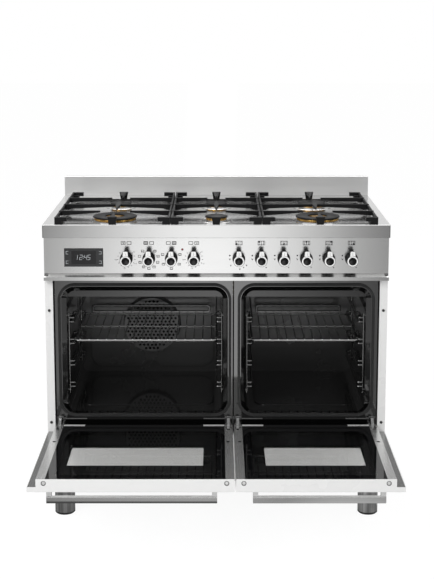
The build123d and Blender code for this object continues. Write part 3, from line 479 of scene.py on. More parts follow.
class Finish(Tree):
    """One material: its Principled shader and short ways to feed it."""

    def __init__(self, name, metallic=0.0, roughness=0.5):
        material = bpy.data.materials.new(name)
        material.use_nodes = True
        super().__init__(material.node_tree)
        self.shader = self.nodes["Principled BSDF"].inputs
        self.feed("Metallic", metallic)
        self.feed("Roughness", roughness)
        self.where = self.add("TexCoord").outputs["Object"]
        FINISHES[name] = material

    def feed(self, title, value):
        """Feeds one of the shader's sockets, or sets it to a plain value."""
        self.give(self.shader[title], value)

    def base(self):
        """The colour that feeds the shader so far."""
        return self.shader["Base Color"].links[0].from_socket

    def effect(self, group, **values):
        """Places a node group with its own values; gives back its outputs."""
        named = {title.replace("_", " "): value for title, value in values.items()}
        named["Vector"] = self.where
        return self.add("Group", named=named, node_tree=GROUPS[group]).outputs

    def blend(self, mask, first, second):
        """Mixes two colours by a mask."""
        node = self.add("Mix", named={"Factor": mask}, data_type="RGBA")
        for title, colour in (("A", first), ("B", second)):
            socket = [s for s in node.inputs if s.name == title and s.type == "RGBA"][0]
            self.give(socket, (*colour, 1.0) if isinstance(colour, tuple) else colour)
        return [s for s in node.outputs if s.type == "RGBA"][0]

    def bump(self, source, strength, distance=0.1 * MM):
        """Raises the surface where a value is high."""
        node = self.add("Bump", named={"Strength": strength, "Distance": distance, "Height": source})
        self.feed("Normal", node.outputs["Normal"])

    def both(self, first, second):
        """A mask that is 1 where two masks are."""
        return self.reckon("MULTIPLY", first, second)

    def switch(self, mask, off, on):
        """A value that goes from off to on as a mask does."""
        return self.spread(mask, off, on, 0.0, 1.0)

    def inside(self, x=OPEN, y=OPEN, z=OPEN):
        """A mask that is 1 between the limits along each axis; None leaves a side open."""
        split = self.add("SeparateXYZ", self.where).outputs
        mask = None
        for axis, limits in enumerate((x, y, z)):
            for limit, below in zip(limits, (0.0, 1.0)):
                if limit is None:
                    continue
                edge = self.spread(split[axis], below, 1.0 - below, limit - MASK_EDGE, limit + MASK_EDGE)
                mask = edge if mask is None else self.both(mask, edge)
        return mask

    def near(self, x, z, start, end, soft=0.15 * MM):
        """A mask that is 1 between two distances from an axis that runs front to back."""
        flat = self.add("VectorMath", self.where, (1.0, 0.0, 1.0), operation="MULTIPLY").outputs[0]
        gap = self.add("VectorMath", flat, (x, 0.0, z), operation="DISTANCE").outputs["Value"]
        within = self.spread(gap, 1.0, 0.0, end - soft, end + soft)
        if start <= 0.0:
            return within
        return self.both(within, self.spread(gap, 0.0, 1.0, start - soft, start + soft))

    def plateau(self, low, high, radius, soft, upright):
        """A mask that is 1 inside a round-cornered box, upright or flat, with soft shoulders."""
        keep = (1.0, 0.0, 1.0) if upright else (1.0, 1.0, 0.0)
        middle = [(a + b) / 2 for a, b in zip(low, high)]
        reach = [(b - a) / 2 - radius for a, b in zip(low, high)]
        source = self.where
        for operation, amount in (("SUBTRACT", middle), ("ABSOLUTE", None), ("SUBTRACT", reach),
                                  ("MAXIMUM", (0.0, 0.0, 0.0)), ("MULTIPLY", keep)):
            source = self.add("VectorMath", source, amount, operation=operation).outputs[0]
        gap = self.add("VectorMath", source, operation="LENGTH").outputs["Value"]
        return self.spread(gap, 1.0, 0.0, radius - soft, radius + soft)

    def height(self, low, high):
        """A mask that rises from 0 to 1 between two heights."""
        return self.spread(self.add("SeparateXYZ", self.where).outputs["Z"], 0.0, 1.0, low, high)


def tone(colour, factor):
    """A colour made darker or lighter."""
    return tuple(min(1.0, part * factor) for part in colour[:3])


def make_steel(name, stretch, colour, rough, gloss_lines):
    """Stainless steel with its brushing along the short number of stretch."""
    steel = Finish(name, metallic=1.0)
    lines = steel.effect("brushed_lines", Stretch=stretch)
    steel.feed("Base Color", steel.blend(lines["Lines"], tone(colour, 0.985), tone(colour, 1.015)))
    streaks = steel.spread(lines["Lines"], rough - gloss_lines, rough + gloss_lines)
    uneven = steel.spread(lines["Bands"], -0.012, 0.012)
    steel.feed("Roughness", steel.reckon("ADD", streaks, uneven))
    steel.bump(lines["Lines"], 0.007, 0.05 * MM)
    return steel


def make_door_steel(colour):
    """Brushed door frames: outer flanges darkened as painted shade, black under the printed panes."""
    steel = make_steel("steel_lengthways", (900.0, 7.0, 900.0), tone(colour, 0.95), 0.24, 0.03)
    steel.feed("Metallic", 0.86)
    shade = steel.base()
    # Painted shade: the outer flanges are darkened below the top of the frame.
    for across in ((None, -FLANGE_X), (FLANGE_X, None)):
        shade = steel.blend(steel.inside(x=across, z=(None, FLANGE_TOP)), shade, tone(colour, 0.42))
    for place in DOORS.values():
        start, end = place["pane"]
        mask = steel.inside(x=(start - 0.4 * MM, end + 0.4 * MM))
        shade = steel.blend(mask, shade, (0.006, 0.006, 0.006))
    steel.feed("Base Color", shade)


def make_ledge_steel(colour):
    """The ledge: a bright lip, and a duller slope with painted shade that darkens towards the panel."""
    steel = make_steel("steel_ledge", (9.0, 700.0, 700.0), colour, 0.16, 0.015)
    # Painted shade: the slope darkens towards the panel, where the recess is shaded.
    slope = steel.blend(steel.height(*LEDGE_SLOPE), tone(colour, 0.8), tone(colour, 0.34))
    band = steel.inside(z=(LEDGE_SLOPE[0], None))
    steel.feed("Base Color", steel.blend(band, steel.base(), slope))
    steel.feed("Roughness", steel.switch(band, 0.12, 0.2))


def make_handle_steel(colour):
    """The handles: polished bars, the left one dark underneath and the right one bright underneath as painted
    shade and painted highlight, with posts in a paler satin.
    """
    steel = make_steel("steel_handle", (400.0, 60.0, 60.0), tone(colour, 1.02), 0.08, 0.015)
    # Painted shade and highlight: the underside is dark on the left handle and bright on the right one.
    right = steel.inside(x=(RIGHT_DOOR, None))
    under = steel.blend(right, tone(colour, 0.34), tone(colour, 1.1))
    bright = steel.blend(steel.height(*HANDLE_PAINTED_UNDERSIDE), under, steel.base())
    post = steel.inside(z=(HANDLE_POST, None))
    steel.feed("Base Color", steel.blend(post, bright, (0.86, 0.86, 0.86)))
    steel.feed("Metallic", steel.switch(post, 1.0, 0.35))


def make_hob_steel(colour):
    """The worktop: a bright apron, and a top that is rougher and painted darker as painted shade."""
    steel = make_steel("steel_hob", (7.0, 900.0, 900.0), tone(colour, 0.93), 0.08, 0.015)
    # Painted shade: the top is darker than the apron; it is also rougher.
    flat = steel.inside(y=(HOB_EDGE, None))
    steel.feed("Base Color", steel.blend(flat, steel.base(), tone(colour, 0.72)))
    steel.feed("Roughness", steel.switch(flat, 0.08, 0.18))


def make_foot_steel(colour):
    """The feet: drawn tube with upright streaks as painted reflection, and a dark sole as painted shadow."""
    steel = make_steel("steel_foot", (120.0, 120.0, 3.0), colour, 0.12, 0.02)
    # Painted reflection: light and dark upright streaks stand in for what the tube mirrors.
    streaks = steel.effect("brushed_lines", Stretch=(95.0, 95.0, 2.0))
    mask = steel.spread(streaks["Lines"], 0.0, 1.0, 0.38, 0.6)
    shade = steel.blend(mask, tone(colour, 0.62), tone(colour, 1.14))
    # Painted shadow: the sole is darkened where the floor's shadow would be mirrored.
    steel.feed("Base Color", steel.blend(steel.height(*FOOT_SOLE_SHADOW), (0.03, 0.03, 0.03), shade))


def make_wire_chrome(colour):
    """Oven wire: cross rails painted bright as painted highlight, bars painted dark and the loop at the rear of
    the shelf painted dull as painted shade.
    """
    wire = make_steel("chromed_wire", (160.0, 160.0, 160.0), tone(colour, 0.32), 0.16, 0.03)
    # Painted shade on the rear loop and the bars, painted highlight on the cross rails; the rails are also less
    # metallic.
    shade = wire.blend(wire.inside(y=GUARD_Y, z=GUARD_Z), wire.base(), (0.11, 0.11, 0.11))
    shade = wire.blend(wire.inside(y=BARS_Y, z=BARS_Z), shade, (0.012, 0.012, 0.012))
    rails = None
    for place in RAIL_PLACES:
        rail = wire.inside(y=(place - RAIL_HALF, place + RAIL_HALF), z=RAIL_Z)
        shade = wire.blend(rail, shade, tone(colour, 1.05))
        rails = rail if rails is None else wire.reckon("MAXIMUM", rails, rail)
    wire.feed("Base Color", shade)
    wire.feed("Metallic", wire.switch(rails, 1.0, 0.2))


def make_black_enamel(colour):
    """Oven enamel: deep black at the mouth as painted shade; paler on the pressed pads and the back, more so
    towards the top, as painted light.
    """
    black = Finish("black_enamel")
    grain = black.effect("fine_grain", Grain_Scale=260.0, Mottle_Scale=6.0)
    specks = black.effect("enamel_specks", Speck_Scale=420.0)
    base = black.blend(grain["Mottle"], tone(colour, 0.85), tone(colour, 1.15))
    base = black.blend(specks["Specks"], base, tone(colour, 1.35))
    # Painted light: the back wall and its pad grow paler towards the top, the pad more than the wall.
    wall = black.inside(y=(BACK_START, None))
    pad = black.inside(y=(BACK_START, BACK_WALL - 0.4 * MM))
    upper = black.height(*BACK_PAINTED_LIGHT)
    for mask, lower_tone, upper_tone in ((wall, 3.2, 20.0), (pad, 4.6, 22.0)):
        base = black.blend(mask, base, black.blend(upper, tone(colour, lower_tone), tone(colour, upper_tone)))
    # Painted shade: the wall behind the fan's opening is darkened.
    painted_shade_behind_fan = black.both(wall, black.near(*FAN_AXIS, 0.0, FAN_OPENING))
    base = black.blend(painted_shade_behind_fan, base, tone(colour, 0.1))
    # Painted shade: the front plate and mouth rim are painted a deeper black.
    mouth = black.inside(y=(None, OVEN_MOUTH))
    black.feed("Base Color", black.blend(mouth, base, tone(colour, 0.25)))

    pressed = black.plateau(*BACK_PAD, radius=38 * MM, soft=4 * MM, upright=True)
    notch = black.switch(black.near(*PAD_NOTCH, 0.0, 30 * MM, soft=3 * MM), 1.0, 0.0)
    shape = black.both(wall, black.both(pressed, notch))
    for start, end in TRAY_X:
        low_corner, high_corner = (start, TRAY_Y[0], 0.0), (end, TRAY_Y[1], 0.0)
        tray = black.plateau(low_corner, high_corner, radius=34 * MM, soft=4 * MM, upright=False)
        low = black.inside(y=FLOOR_Y, z=(None, FLOOR_TOP))
        shape = black.reckon("ADD", shape, black.both(tray, low))
    black.bump(shape, 1.0, 0.6 * MM)

    shine = black.spread(grain["Mottle"], 0.05, 0.08)
    black.feed("Roughness", black.reckon("ADD", shine, black.switch(wall, 0.0, 0.2)))
    black.feed("Coat Weight", black.switch(mouth, 0.12, 1.0))
    black.feed("IOR", 1.75)
    black.feed("Coat IOR", 2.2)
    black.feed("Coat Roughness", 0.05)


def make_cover_enamel(colour):
    """The fan cover: a face painted paler towards the top as painted light, and unlit holes painted dark as
    painted shade.
    """
    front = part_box("fan_cover")[0].y
    cover = Finish("cover_enamel")
    grain = cover.effect("fine_grain", Grain_Scale=260.0, Mottle_Scale=9.0)
    # Painted light: the face grows paler towards the top.
    pale = cover.blend(cover.height(*COVER_PAINTED_LIGHT), tone(colour, 11.0), tone(colour, 24.0))
    base = cover.blend(grain["Mottle"], tone(colour, 13.0), pale)
    # Painted shade: the holes and what lies behind them are darkened.
    deep = cover.both(cover.inside(y=(front + 0.25 * MM, None)), cover.near(*FAN_AXIS, 0.0, COVER_HOLES))
    cover.feed("Base Color", cover.blend(deep, base, tone(colour, 0.05)))
    cover.feed("Roughness", cover.spread(grain["Mottle"], 0.2, 0.26))
    cover.feed("IOR", 1.75)


def make_grained(name, colour, spread, rough, bump, scales, depth=0.1, **sockets):
    """A grained finish: colour and roughness vary with the mottling, bumps with the grain."""
    piece = Finish(name)
    made = piece.effect("fine_grain", Grain_Scale=scales[0], Mottle_Scale=scales[1])
    piece.feed("Base Color", piece.blend(made["Mottle"], tone(colour, 1 - spread), tone(colour, 1 + spread)))
    piece.feed("Roughness", piece.spread(made["Mottle"], *rough))
    piece.bump(made["Grain"], bump, depth * MM)
    for title, value in sockets.items():
        piece.feed(title.replace("_", " "), value)
    return piece


def make_white_enamel(name, colour):
    """Glossy white enamel."""
    return make_grained(
        name, colour, 0.012, (0.26, 0.30), 0.02, (420.0, 5.0), Coat_Weight=0.25, Coat_Roughness=0.08)


def make_door_white(colour):
    """The door skins: white enamel with a painted shadow line round each end screw."""
    white = make_white_enamel("white_doors", colour)
    shade = white.base()
    end = white.inside(y=(None, DOOR_TIP + 2.5 * MM))
    for place in DOORS.values():
        for x in place["end_screws"]:
            # Painted shadow: a dark ring round each end screw, where its seat is shaded.
            ring = white.both(end, white.near(x, END_SCREW_HEIGHT, 4.6 * MM, 6.6 * MM))
            shade = white.blend(ring, shade, (0.10, 0.10, 0.10))
    white.feed("Base Color", shade)


def make_brass(colour):
    """Brass, browned in places by heat."""
    brass = Finish("brass", metallic=1.0)
    heat = brass.effect("fine_grain", Grain_Scale=500.0, Mottle_Scale=26.0)
    browned = brass.spread(heat["Mottle"], 0.0, 1.0, 0.42, 0.7)
    brass.feed("Base Color", brass.blend(browned, colour, (0.42, 0.23, 0.07)))
    brass.feed("Roughness", brass.spread(heat["Mottle"], 0.2, 0.38))
    brass.bump(heat["Grain"], 0.06)


def make_zinc():
    """Galvanised sheet with its spangle."""
    zinc = Finish("galvanised", metallic=1.0)
    spangle = zinc.add("TexVoronoi", named={"Vector": zinc.where, "Scale": 95.0})
    value = zinc.add("SeparateColor", spangle.outputs["Color"]).outputs
    zinc.feed("Base Color", zinc.blend(value[0], (0.46, 0.47, 0.48), (0.60, 0.61, 0.62)))
    zinc.feed("Roughness", zinc.switch(value[1], 0.34, 0.5))
    grain = zinc.effect("fine_grain", Grain_Scale=500.0, Mottle_Scale=10.0)
    zinc.bump(grain["Grain"], 0.04)


def make_wool():
    """Mineral wool."""
    wool = Finish("mineral_wool", roughness=0.95)
    fibres = wool.effect("brushed_lines", Stretch=(90.0, 700.0, 420.0))
    wool.feed("Base Color", wool.blend(fibres["Lines"], (0.46, 0.38, 0.22), (0.72, 0.66, 0.48)))
    wool.bump(fibres["Lines"], 0.8, 1.5 * MM)


def make_display():
    """The display: a dark frame round a darker screen."""
    display = Finish("display_black")
    marks = display.effect("fine_grain", Grain_Scale=900.0, Mottle_Scale=30.0)
    border = display.blend(marks["Mottle"], (0.026, 0.027, 0.028), (0.034, 0.035, 0.036))
    screen = display.inside(x=SCREEN_X, z=SCREEN_Z)
    display.feed("Base Color", display.blend(screen, border, (0.012, 0.012, 0.013)))
    display.feed("Roughness", display.spread(marks["Mottle"], 0.16, 0.22))


def make_lamp_glass():
    """Ribbed glass over the oven lamps."""
    glass = Finish("lamp_glass", roughness=0.12)
    ribs = glass.effect("fine_grain", Grain_Scale=240.0, Mottle_Scale=60.0)
    glass.feed("Base Color", glass.blend(ribs["Mottle"], (0.82, 0.82, 0.78), (0.92, 0.92, 0.88)))
    glass.bump(ribs["Grain"], 0.3, 0.4 * MM)
    glass.feed("Transmission Weight", 0.6)


def make_clear_glass(name, bend):
    """Clear pane glass with a faint film."""
    clear = Finish(name, roughness=0.02)
    film = clear.effect("fine_grain", Grain_Scale=40.0, Mottle_Scale=4.0)
    clear.feed("Base Color", clear.blend(film["Mottle"], (0.975, 0.975, 0.97), (0.99, 0.99, 0.985)))
    clear.feed("Roughness", clear.spread(film["Mottle"], 0.0, 0.03))
    clear.feed("Transmission Weight", 1.0)
    clear.feed("IOR", bend)


def make_finishes(sizes):
    """All the finishes of the cooker."""
    steel, white, black = tuple(sizes.steel), tuple(sizes.white), tuple(sizes.black)
    make_brushing()
    make_grain()
    make_speckle()
    make_steel("steel_across", (7.0, 900.0, 900.0), tone(steel, 1.1), 0.18, 0.014)
    make_steel("steel_satin", (7.0, 900.0, 900.0), tone(steel, 1.12), 0.42, 0.03).feed("Metallic", 0.82)
    make_steel("steel_bright", (9.0, 700.0, 700.0), steel, 0.1, 0.015)
    make_steel("steel_polished", (60.0, 60.0, 400.0), tone(steel, 0.9), 0.07, 0.015)
    make_steel("steel_hinge", (60.0, 60.0, 400.0), tone(steel, 0.12), 0.3, 0.04)
    for make in (make_hob_steel, make_foot_steel, make_wire_chrome, make_door_steel, make_ledge_steel,
                 make_handle_steel):
        make(steel)
    make_white_enamel("white_enamel", white)
    # Painted light: a brighter copy of the white enamel for the lower front panel, which stands in shade.
    make_white_enamel("white_panel", tone(white, 1.14))
    make_door_white(white)
    make_black_enamel(black)
    make_cover_enamel(black)
    make_brass(tuple(sizes.brass))
    make_zinc()
    make_wool()
    make_display()
    make_lamp_glass()
    make_clear_glass("clear_glass", 1.32)
    make_clear_glass("window_glass", 1.06)

    make_grained("hinge_metal", (0.2, 0.2, 0.2), 0.95, (0.14, 0.3), 0.3, (500.0, 160.0), Metallic=1.0)
    make_grained("aluminium", (0.6, 0.6, 0.6), 0.08, (0.34, 0.46), 0.12, (800.0, 30.0), Metallic=1.0)
    make_grained("satin_chrome", (0.9, 0.9, 0.895), 0.02, (0.26, 0.34), 0.02, (700.0, 30.0), Metallic=0.5)
    # Painted reflection: a near-white satin stands in for the bright chrome of the knobs' front ring and face.
    make_grained("knob_white", (0.97, 0.97, 0.965), 0.015, (0.24, 0.3), 0.02, (700.0, 30.0), Metallic=0.12)
    make_grained("rubber", (0.02, 0.02, 0.02), 0.25, (0.5, 0.66), 0.15, (900.0, 40.0))
    make_grained("white_ceramic", (0.72, 0.70, 0.64), 0.05, (0.3, 0.45), 0.06, (900.0, 60.0))
    make_grained("panel_ink", tuple(sizes.ink), 0.2, (0.4, 0.55), 0.03, (1200.0, 60.0))
    make_grained("cast_iron", tuple(sizes.iron), 0.3, (0.34, 0.5), 0.35, (1100.0, 18.0), depth=0.15, IOR=1.3)
    make_grained("black_glass", (0.003, 0.003, 0.0034), 0.2, (0.02, 0.05), 0.004, (200.0, 5.0), IOR=1.5)
    make_grained("red_lens", (0.22, 0.004, 0.005), 0.15, (0.1, 0.18), 0.04, (700.0, 90.0), Coat_Weight=0.5)
    make_grained(
        "sooty_metal", (0.004, 0.004, 0.004), 0.3, (0.5, 0.65), 0.1, (700.0, 40.0), Specular_IOR_Level=0.1)
    make_grained(
        "cap_enamel", tone(sizes.iron, 1.2), 0.25, (0.34, 0.46), 0.12, (900.0, 25.0), IOR=1.35,
        Specular_IOR_Level=0.22)
    make_grained(
        "black_plastic", (0.007, 0.007, 0.0075), 0.2, (0.42, 0.52), 0.08, (1400.0, 20.0), IOR=1.25,
        Specular_IOR_Level=0.12)
    make_grained(
        "lit_digits", (0.62, 0.65, 0.67), 0.06, (0.4, 0.5), 0.02, (900.0, 90.0),
        Emission_Color=(0.75, 0.8, 0.82, 1.0), Emission_Strength=0.08)


OF_SLOT = {"brushed_steel": "steel_across", "polished_steel": "steel_polished", "door_glass": "black_glass"}
OF_NODE = {
    "panel_ledge": "steel_ledge", "knob_bezels": "steel_bright", "worktop": "steel_hob",
    "backguard": "steel_satin", "hinge_arms": "hinge_metal", "fan_cover": "cover_enamel",
    "lower_front_panel": "white_panel", "fan_blade": "sooty_metal", "ring_element": "sooty_metal",
    "door_left_frame": "steel_lengthways", "door_right_frame": "steel_lengthways",
    "door_left_skin": "white_doors", "door_right_skin": "white_doors",
    "door_left_handle": "steel_handle", "door_right_handle": "steel_handle",
    **{name: "steel_foot" for name in NODES if name.startswith("foot_")},
}


class COOKER_OT_finishes(Operator):
    """Makes the finishes and puts them on the CAD model's own pieces"""

    bl_idname = "cooker.finishes"
    bl_label = "Finishes"

    def execute(self, context):
        make_finishes(context.scene.cooker_finish)
        for name, node in NODES.items():
            slot = SLOT_OF[name]
            coat(node, OF_NODE.get(name, OF_SLOT.get(slot, slot)))
        return {"FINISHED"}


KNOB_COATS = ("black_plastic", "knob_white", "black_glass")


def make_knob_body(size):
    """The knob's turned body: stem, skirt, tapered side, front ring painted pale as a painted reflection, and
    black disc.
    """
    base, front = size.base_radius / MM, size.front_radius / MM
    depth, disc = size.depth / MM, size.disc_radius / MM
    body = facing_front(turned([
        (3.6, -26.0), (4.0, -25.5), (4.0, 0.0), (base - 0.9, 0.0), (base, 0.8), (base - 0.1, 3.0),
        (base - 0.7, 3.6), (front + 0.2, depth - 2.0), (front, depth - 1.0), (front - 0.2, depth - 0.4),
        (front - 0.9, depth), (disc + 0.5, depth), (disc + 0.25, depth - 0.4), (disc, depth - 0.5),
        (disc - 0.1, depth + 0.2), (disc - 0.8, depth + 0.55)], size.segments))
    coat(body, *KNOB_COATS)

    def on_ring(middle, normal):
        return -middle.y > (depth - 0.1) * MM and math.hypot(middle.x, middle.z) > (disc + 0.3) * MM

    def on_disc(middle, normal):
        return -middle.y > (depth - 0.8) * MM and math.hypot(middle.x, middle.z) < (disc + 0.02) * MM

    coat_faces(body, 1, on_ring)
    coat_faces(body, 2, on_disc)
    return body


def make_knob_grip(size):
    """The knob's pointer bar: splayed at the axis, sloped at the back, with a bevelled face painted pale as a
    painted reflection.
    """
    half, reach, depth = size.grip_width / 2, size.grip_reach, size.depth
    start, splay, back_drop = 2.0 * MM, 1.4, 5.0 * MM
    corner, border, bevel = 2.2 * MM, 0.7 * MM, 0.9 * MM
    hair = 0.01 * MM
    grip = bar((-half, -depth, start), (half, 0.0, reach))
    pick_edges(grip, lambda a, b: max(a.z, b.z) < start + MM)
    bpy.ops.transform.resize(value=(splay, 1.0, 1.0), center_override=(0.0, 0.0, 0.0))
    pick_edges(grip, lambda a, b: min(a.z, b.z) > reach - MM and min(a.y, b.y) > -MM)
    bpy.ops.transform.translate(value=(0.0, 0.0, -back_drop))
    pick_edges(grip, lambda a, b: min(a.z, b.z) > reach - back_drop - MM and abs(a.x - b.x) < MM / 10)
    bpy.ops.mesh.bevel(offset=corner, segments=4, affect="EDGES")
    pick(grip, lambda c, n: n.y < -0.9)
    bpy.ops.mesh.inset(thickness=border, depth=0.0)
    pick_edges(grip, lambda a, b: max(a.y, b.y) < hair - depth and min(a.z, b.z) > start + MM
               and max(abs(a.x), abs(b.x)) > half - hair)
    bpy.ops.transform.translate(value=(0.0, bevel, 0.0))
    tidy(grip, 30.0)
    coat(grip, *KNOB_COATS)
    coat_faces(grip, 1, lambda c, n: n.y < -0.35)
    return grip


def make_knob_line(size):
    """The fine dark line on the pointer bar."""
    half = 0.35 * MM
    line = bar((-half, -size.depth - 0.05 * MM, size.front_radius + 1.2 * MM),
               (half, -size.depth + 0.2 * MM, size.grip_reach - 4.0 * MM))
    rounded(0.1 * MM, 1)
    tidy(line)
    coat(line, *KNOB_COATS)
    return line


class COOKER_OT_knobs(Operator):
    """Turns one knob with its front ring painted pale as a painted reflection, black disc and pointer bar, and
    copies it to each axis
    """

    bl_idname = "cooker.knobs"
    bl_label = "Knobs"

    def execute(self, context):
        size = context.scene.cooker_knob
        knob = joined("knob_model", [make_knob_body(size), make_knob_grip(size), make_knob_line(size)])
        start_y = BEZEL_FACE - 1.0 * MM
        for name in KNOB_NAMES:
            axis = KNOB_AXIS[name]
            twin = copied(knob, name + "_dial", (axis[0], start_y, axis[2]))
            fit(twin, name + "_dial", name, [name])
        bpy.data.objects.remove(knob)
        return {"FINISHED"}


PORTS = {"wok": 96, "rapid": 72, "semi": 56}
CORE_PORTS = 40
CAP_OVERHANG = 3.0
PRESSED_RADIUS = {"rapid": 61.0, "semi": 47.0}


def port_band(piece, place, radius, low, high, count):
    """Presses flame ports into every second side face of a ring, between two heights in millimetres."""
    x, y, z = place
    step = 2 * math.pi / count

    def test(middle, normal):
        dx, dy = middle.x - x, middle.y - y
        level = low * MM < middle.z - z < high * MM
        if abs(normal.z) > 0.3 or not level or abs(math.hypot(dx, dy) - radius * MM) > 1.2 * MM:
            return False
        return int(math.floor((math.atan2(dy, dx) + math.pi) / step + 0.25)) % 2 == 0

    edit(piece)
    if not pick(piece, test):
        raise RuntimeError("no faces for the flame ports")
    bpy.ops.mesh.inset(thickness=0.35 * MM, depth=0.0, use_individual=True)
    bpy.ops.mesh.inset(thickness=0.05 * MM, depth=-3.0 * MM, use_individual=True)
    begin()


def make_core(place, core, rise, top):
    """The inner crown of a wok burner, with its own ports."""
    piece = turned([
        (core - 0.5, 0.0), (core, 0.6), (core, 2.0), (core, rise - 2.4), (core - 0.6, rise - 1.8),
        (core - 0.6, rise - 1.0), (core, rise - 0.4), (core, top - 1.2), (core - 0.8, top - 0.3),
        (core - 3.0, top), (core - 7.0, top), (core - 8.0, top - 0.6)], CORE_PORTS, place)
    port_band(piece, place, core, 2.1, rise - 2.5, CORE_PORTS)
    return piece


def make_spoke(place, start, end, turn):
    """One of the four bars that carry the core of a wok burner."""
    spoke = bar((start * MM, -4.0 * MM, 0.0), (end * MM, 4.0 * MM, 3.0 * MM))
    rounded(0.6 * MM)
    tidy(spoke)
    angle = math.radians(45 + 90 * turn)
    spoke.data.transform(Matrix.Translation(place) @ Matrix.Rotation(angle, 4, "Z"))
    return spoke


def make_pressing(place, bead):
    """The low ring pressed into the hob round a burner."""
    return turned([
        (bead - 2.6, -0.2), (bead - 2.2, 0.35), (bead - 1.0, 0.9), (bead, 1.0), (bead + 1.0, 0.9),
        (bead + 2.2, 0.35), (bead + 2.6, -0.2)], 96, place, hollow=True)


class COOKER_OT_burners(Operator):
    """Models the brass flame rings with their ports, the enamelled caps and the pressed rings round them"""

    bl_idname = "cooker.burners"
    bl_label = "Burners"

    def execute(self, context):
        size = context.scene.cooker_burner
        cap_radius = {"wok": size.wok / MM, "rapid": size.rapid / MM, "semi": size.semi / MM}
        inner, core = size.wok_inner / MM, size.wok_core / MM
        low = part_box("burner_rings")[0].z
        cap_low, cap_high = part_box("burner_caps")[0].z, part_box("burner_caps")[1].z
        rise = (cap_low - low) / MM
        core_top = (cap_high - low) / MM - 2.0
        rings, caps, presses = [], [], []
        for x, y, kind in BURNERS.values():
            place = (x, y, low)
            cap, ports = cap_radius[kind], PORTS[kind]
            ring = cap - CAP_OVERHANG
            side = [(ring - 0.6, 0.0), (ring, 0.6), (ring, 1.8), (ring, rise - 2.2), (ring - 0.4, rise - 1.6),
                    (ring - 1.6, rise)]
            rim = [(cap - 0.8, 0.0), (cap, 0.8), (cap, 2.0), (cap - 0.7, 3.1)]
            if kind == "wok":
                hole = [(inner + 1.0, rise), (inner, rise - 1.2), (inner, 1.8), (inner + 0.6, 0.0)]
                crown = turned(side + hole, ports, place, hollow=True)
                port_band(crown, place, inner, 1.9, rise - 1.0, ports)
                rings.append(make_core(place, core, rise, core_top))
                rings += [make_spoke(place, core - 1.0, inner + 2.0, turn) for turn in range(4)]
                lid = turned(
                    [(inner, 0.6), (inner + 0.6, 0.0)] + rim + [
                        (cap - 2.4, 3.8), (cap - 6.0, 4.0), (inner + 4.0, 4.0), (inner + 1.2, 3.6),
                        (inner + 0.2, 2.8)], 96, (x, y, cap_low), hollow=True)
            else:
                crown = turned(side, ports, place)
                lid = turned(
                    rim + [(cap - 2.4, 3.7), (cap - 7.0, 3.95), (cap * 0.3, 4.0)], 72, (x, y, cap_low))
                presses.append(make_pressing((x, y, RECESS_FLOOR), PRESSED_RADIUS[kind]))
            port_band(crown, place, ring, 1.9, rise - 2.3, ports)
            rings.append(crown)
            caps.append(lid)
        for pieces, finish in ((rings, "brass"), (caps, "cap_enamel"), (presses, "steel_across")):
            for piece in pieces:
                coat(piece, finish)
        fit(joined("flame_rings", rings), "flame_rings", "cabinet", ["burner_rings"])
        fit(joined("flame_caps", caps), "flame_caps", "cabinet", ["burner_caps"])
        fit(joined("hob_pressings", presses), "hob_pressings", "cabinet")
        return {"FINISHED"}


PANE = 4.0 * MM
CLEAR_MARGIN = 22 * MM
CLEAR_FOOT = 30 * MM
CLEAR_HEAD = 62 * MM
OUTER_MARGIN = 15.0 * MM
LINER_MARGIN = 4 * MM
LINER_EDGE = 1.0 * MM
LINER_FOOT = 8 * MM
LINER_HEAD = 12 * MM
LINER_GAP = 0.2 * MM
LINER_THICKNESS = 0.8 * MM


def wider(span, margin):
    """A span with a margin added at both ends."""
    return span[0] - margin, span[1] + margin


def make_clip(start, end):
    """A flat strip along the head of the inner pane, with its front edge rounded."""
    hair = 0.1 * MM
    strip = bar((start, CLIP_Y[0], CLIP_Z[0]), (end, CLIP_Y[1], CLIP_Z[1]))
    pick_edges(strip, lambda a, b: max(a.y, b.y) < CLIP_Y[0] + hair and min(a.z, b.z) > CLIP_Z[1] - hair)
    bpy.ops.mesh.bevel(offset=0.6 * MM, segments=2, affect="EDGES")
    tidy(strip)
    coat(strip, "satin_chrome")
    return strip


def make_pane(low, high, across, along, finish):
    """A pane with a black printed border round a clear middle."""
    pane = bar(low, high)
    cut_across(across, along)
    tidy(pane)
    coat(pane, "black_glass", finish)
    coat_faces(pane, 1, lambda c, n: across[0] < c.x < across[1] and along[0] < c.y < along[1])
    return pane


def make_liner(low, high, across, along):
    """A thin black sheet with an opening."""
    liner = bar(low, high)
    cut_across(across, along)
    pick(liner, lambda c, n: across[0] + MM < c.x < across[1] - MM and along[0] + MM < c.y < along[1] - MM
         and abs(n.z) > 0.9)
    bpy.ops.mesh.bridge_edge_loops()
    tidy(liner)
    coat(liner, "black_plastic")
    return liner


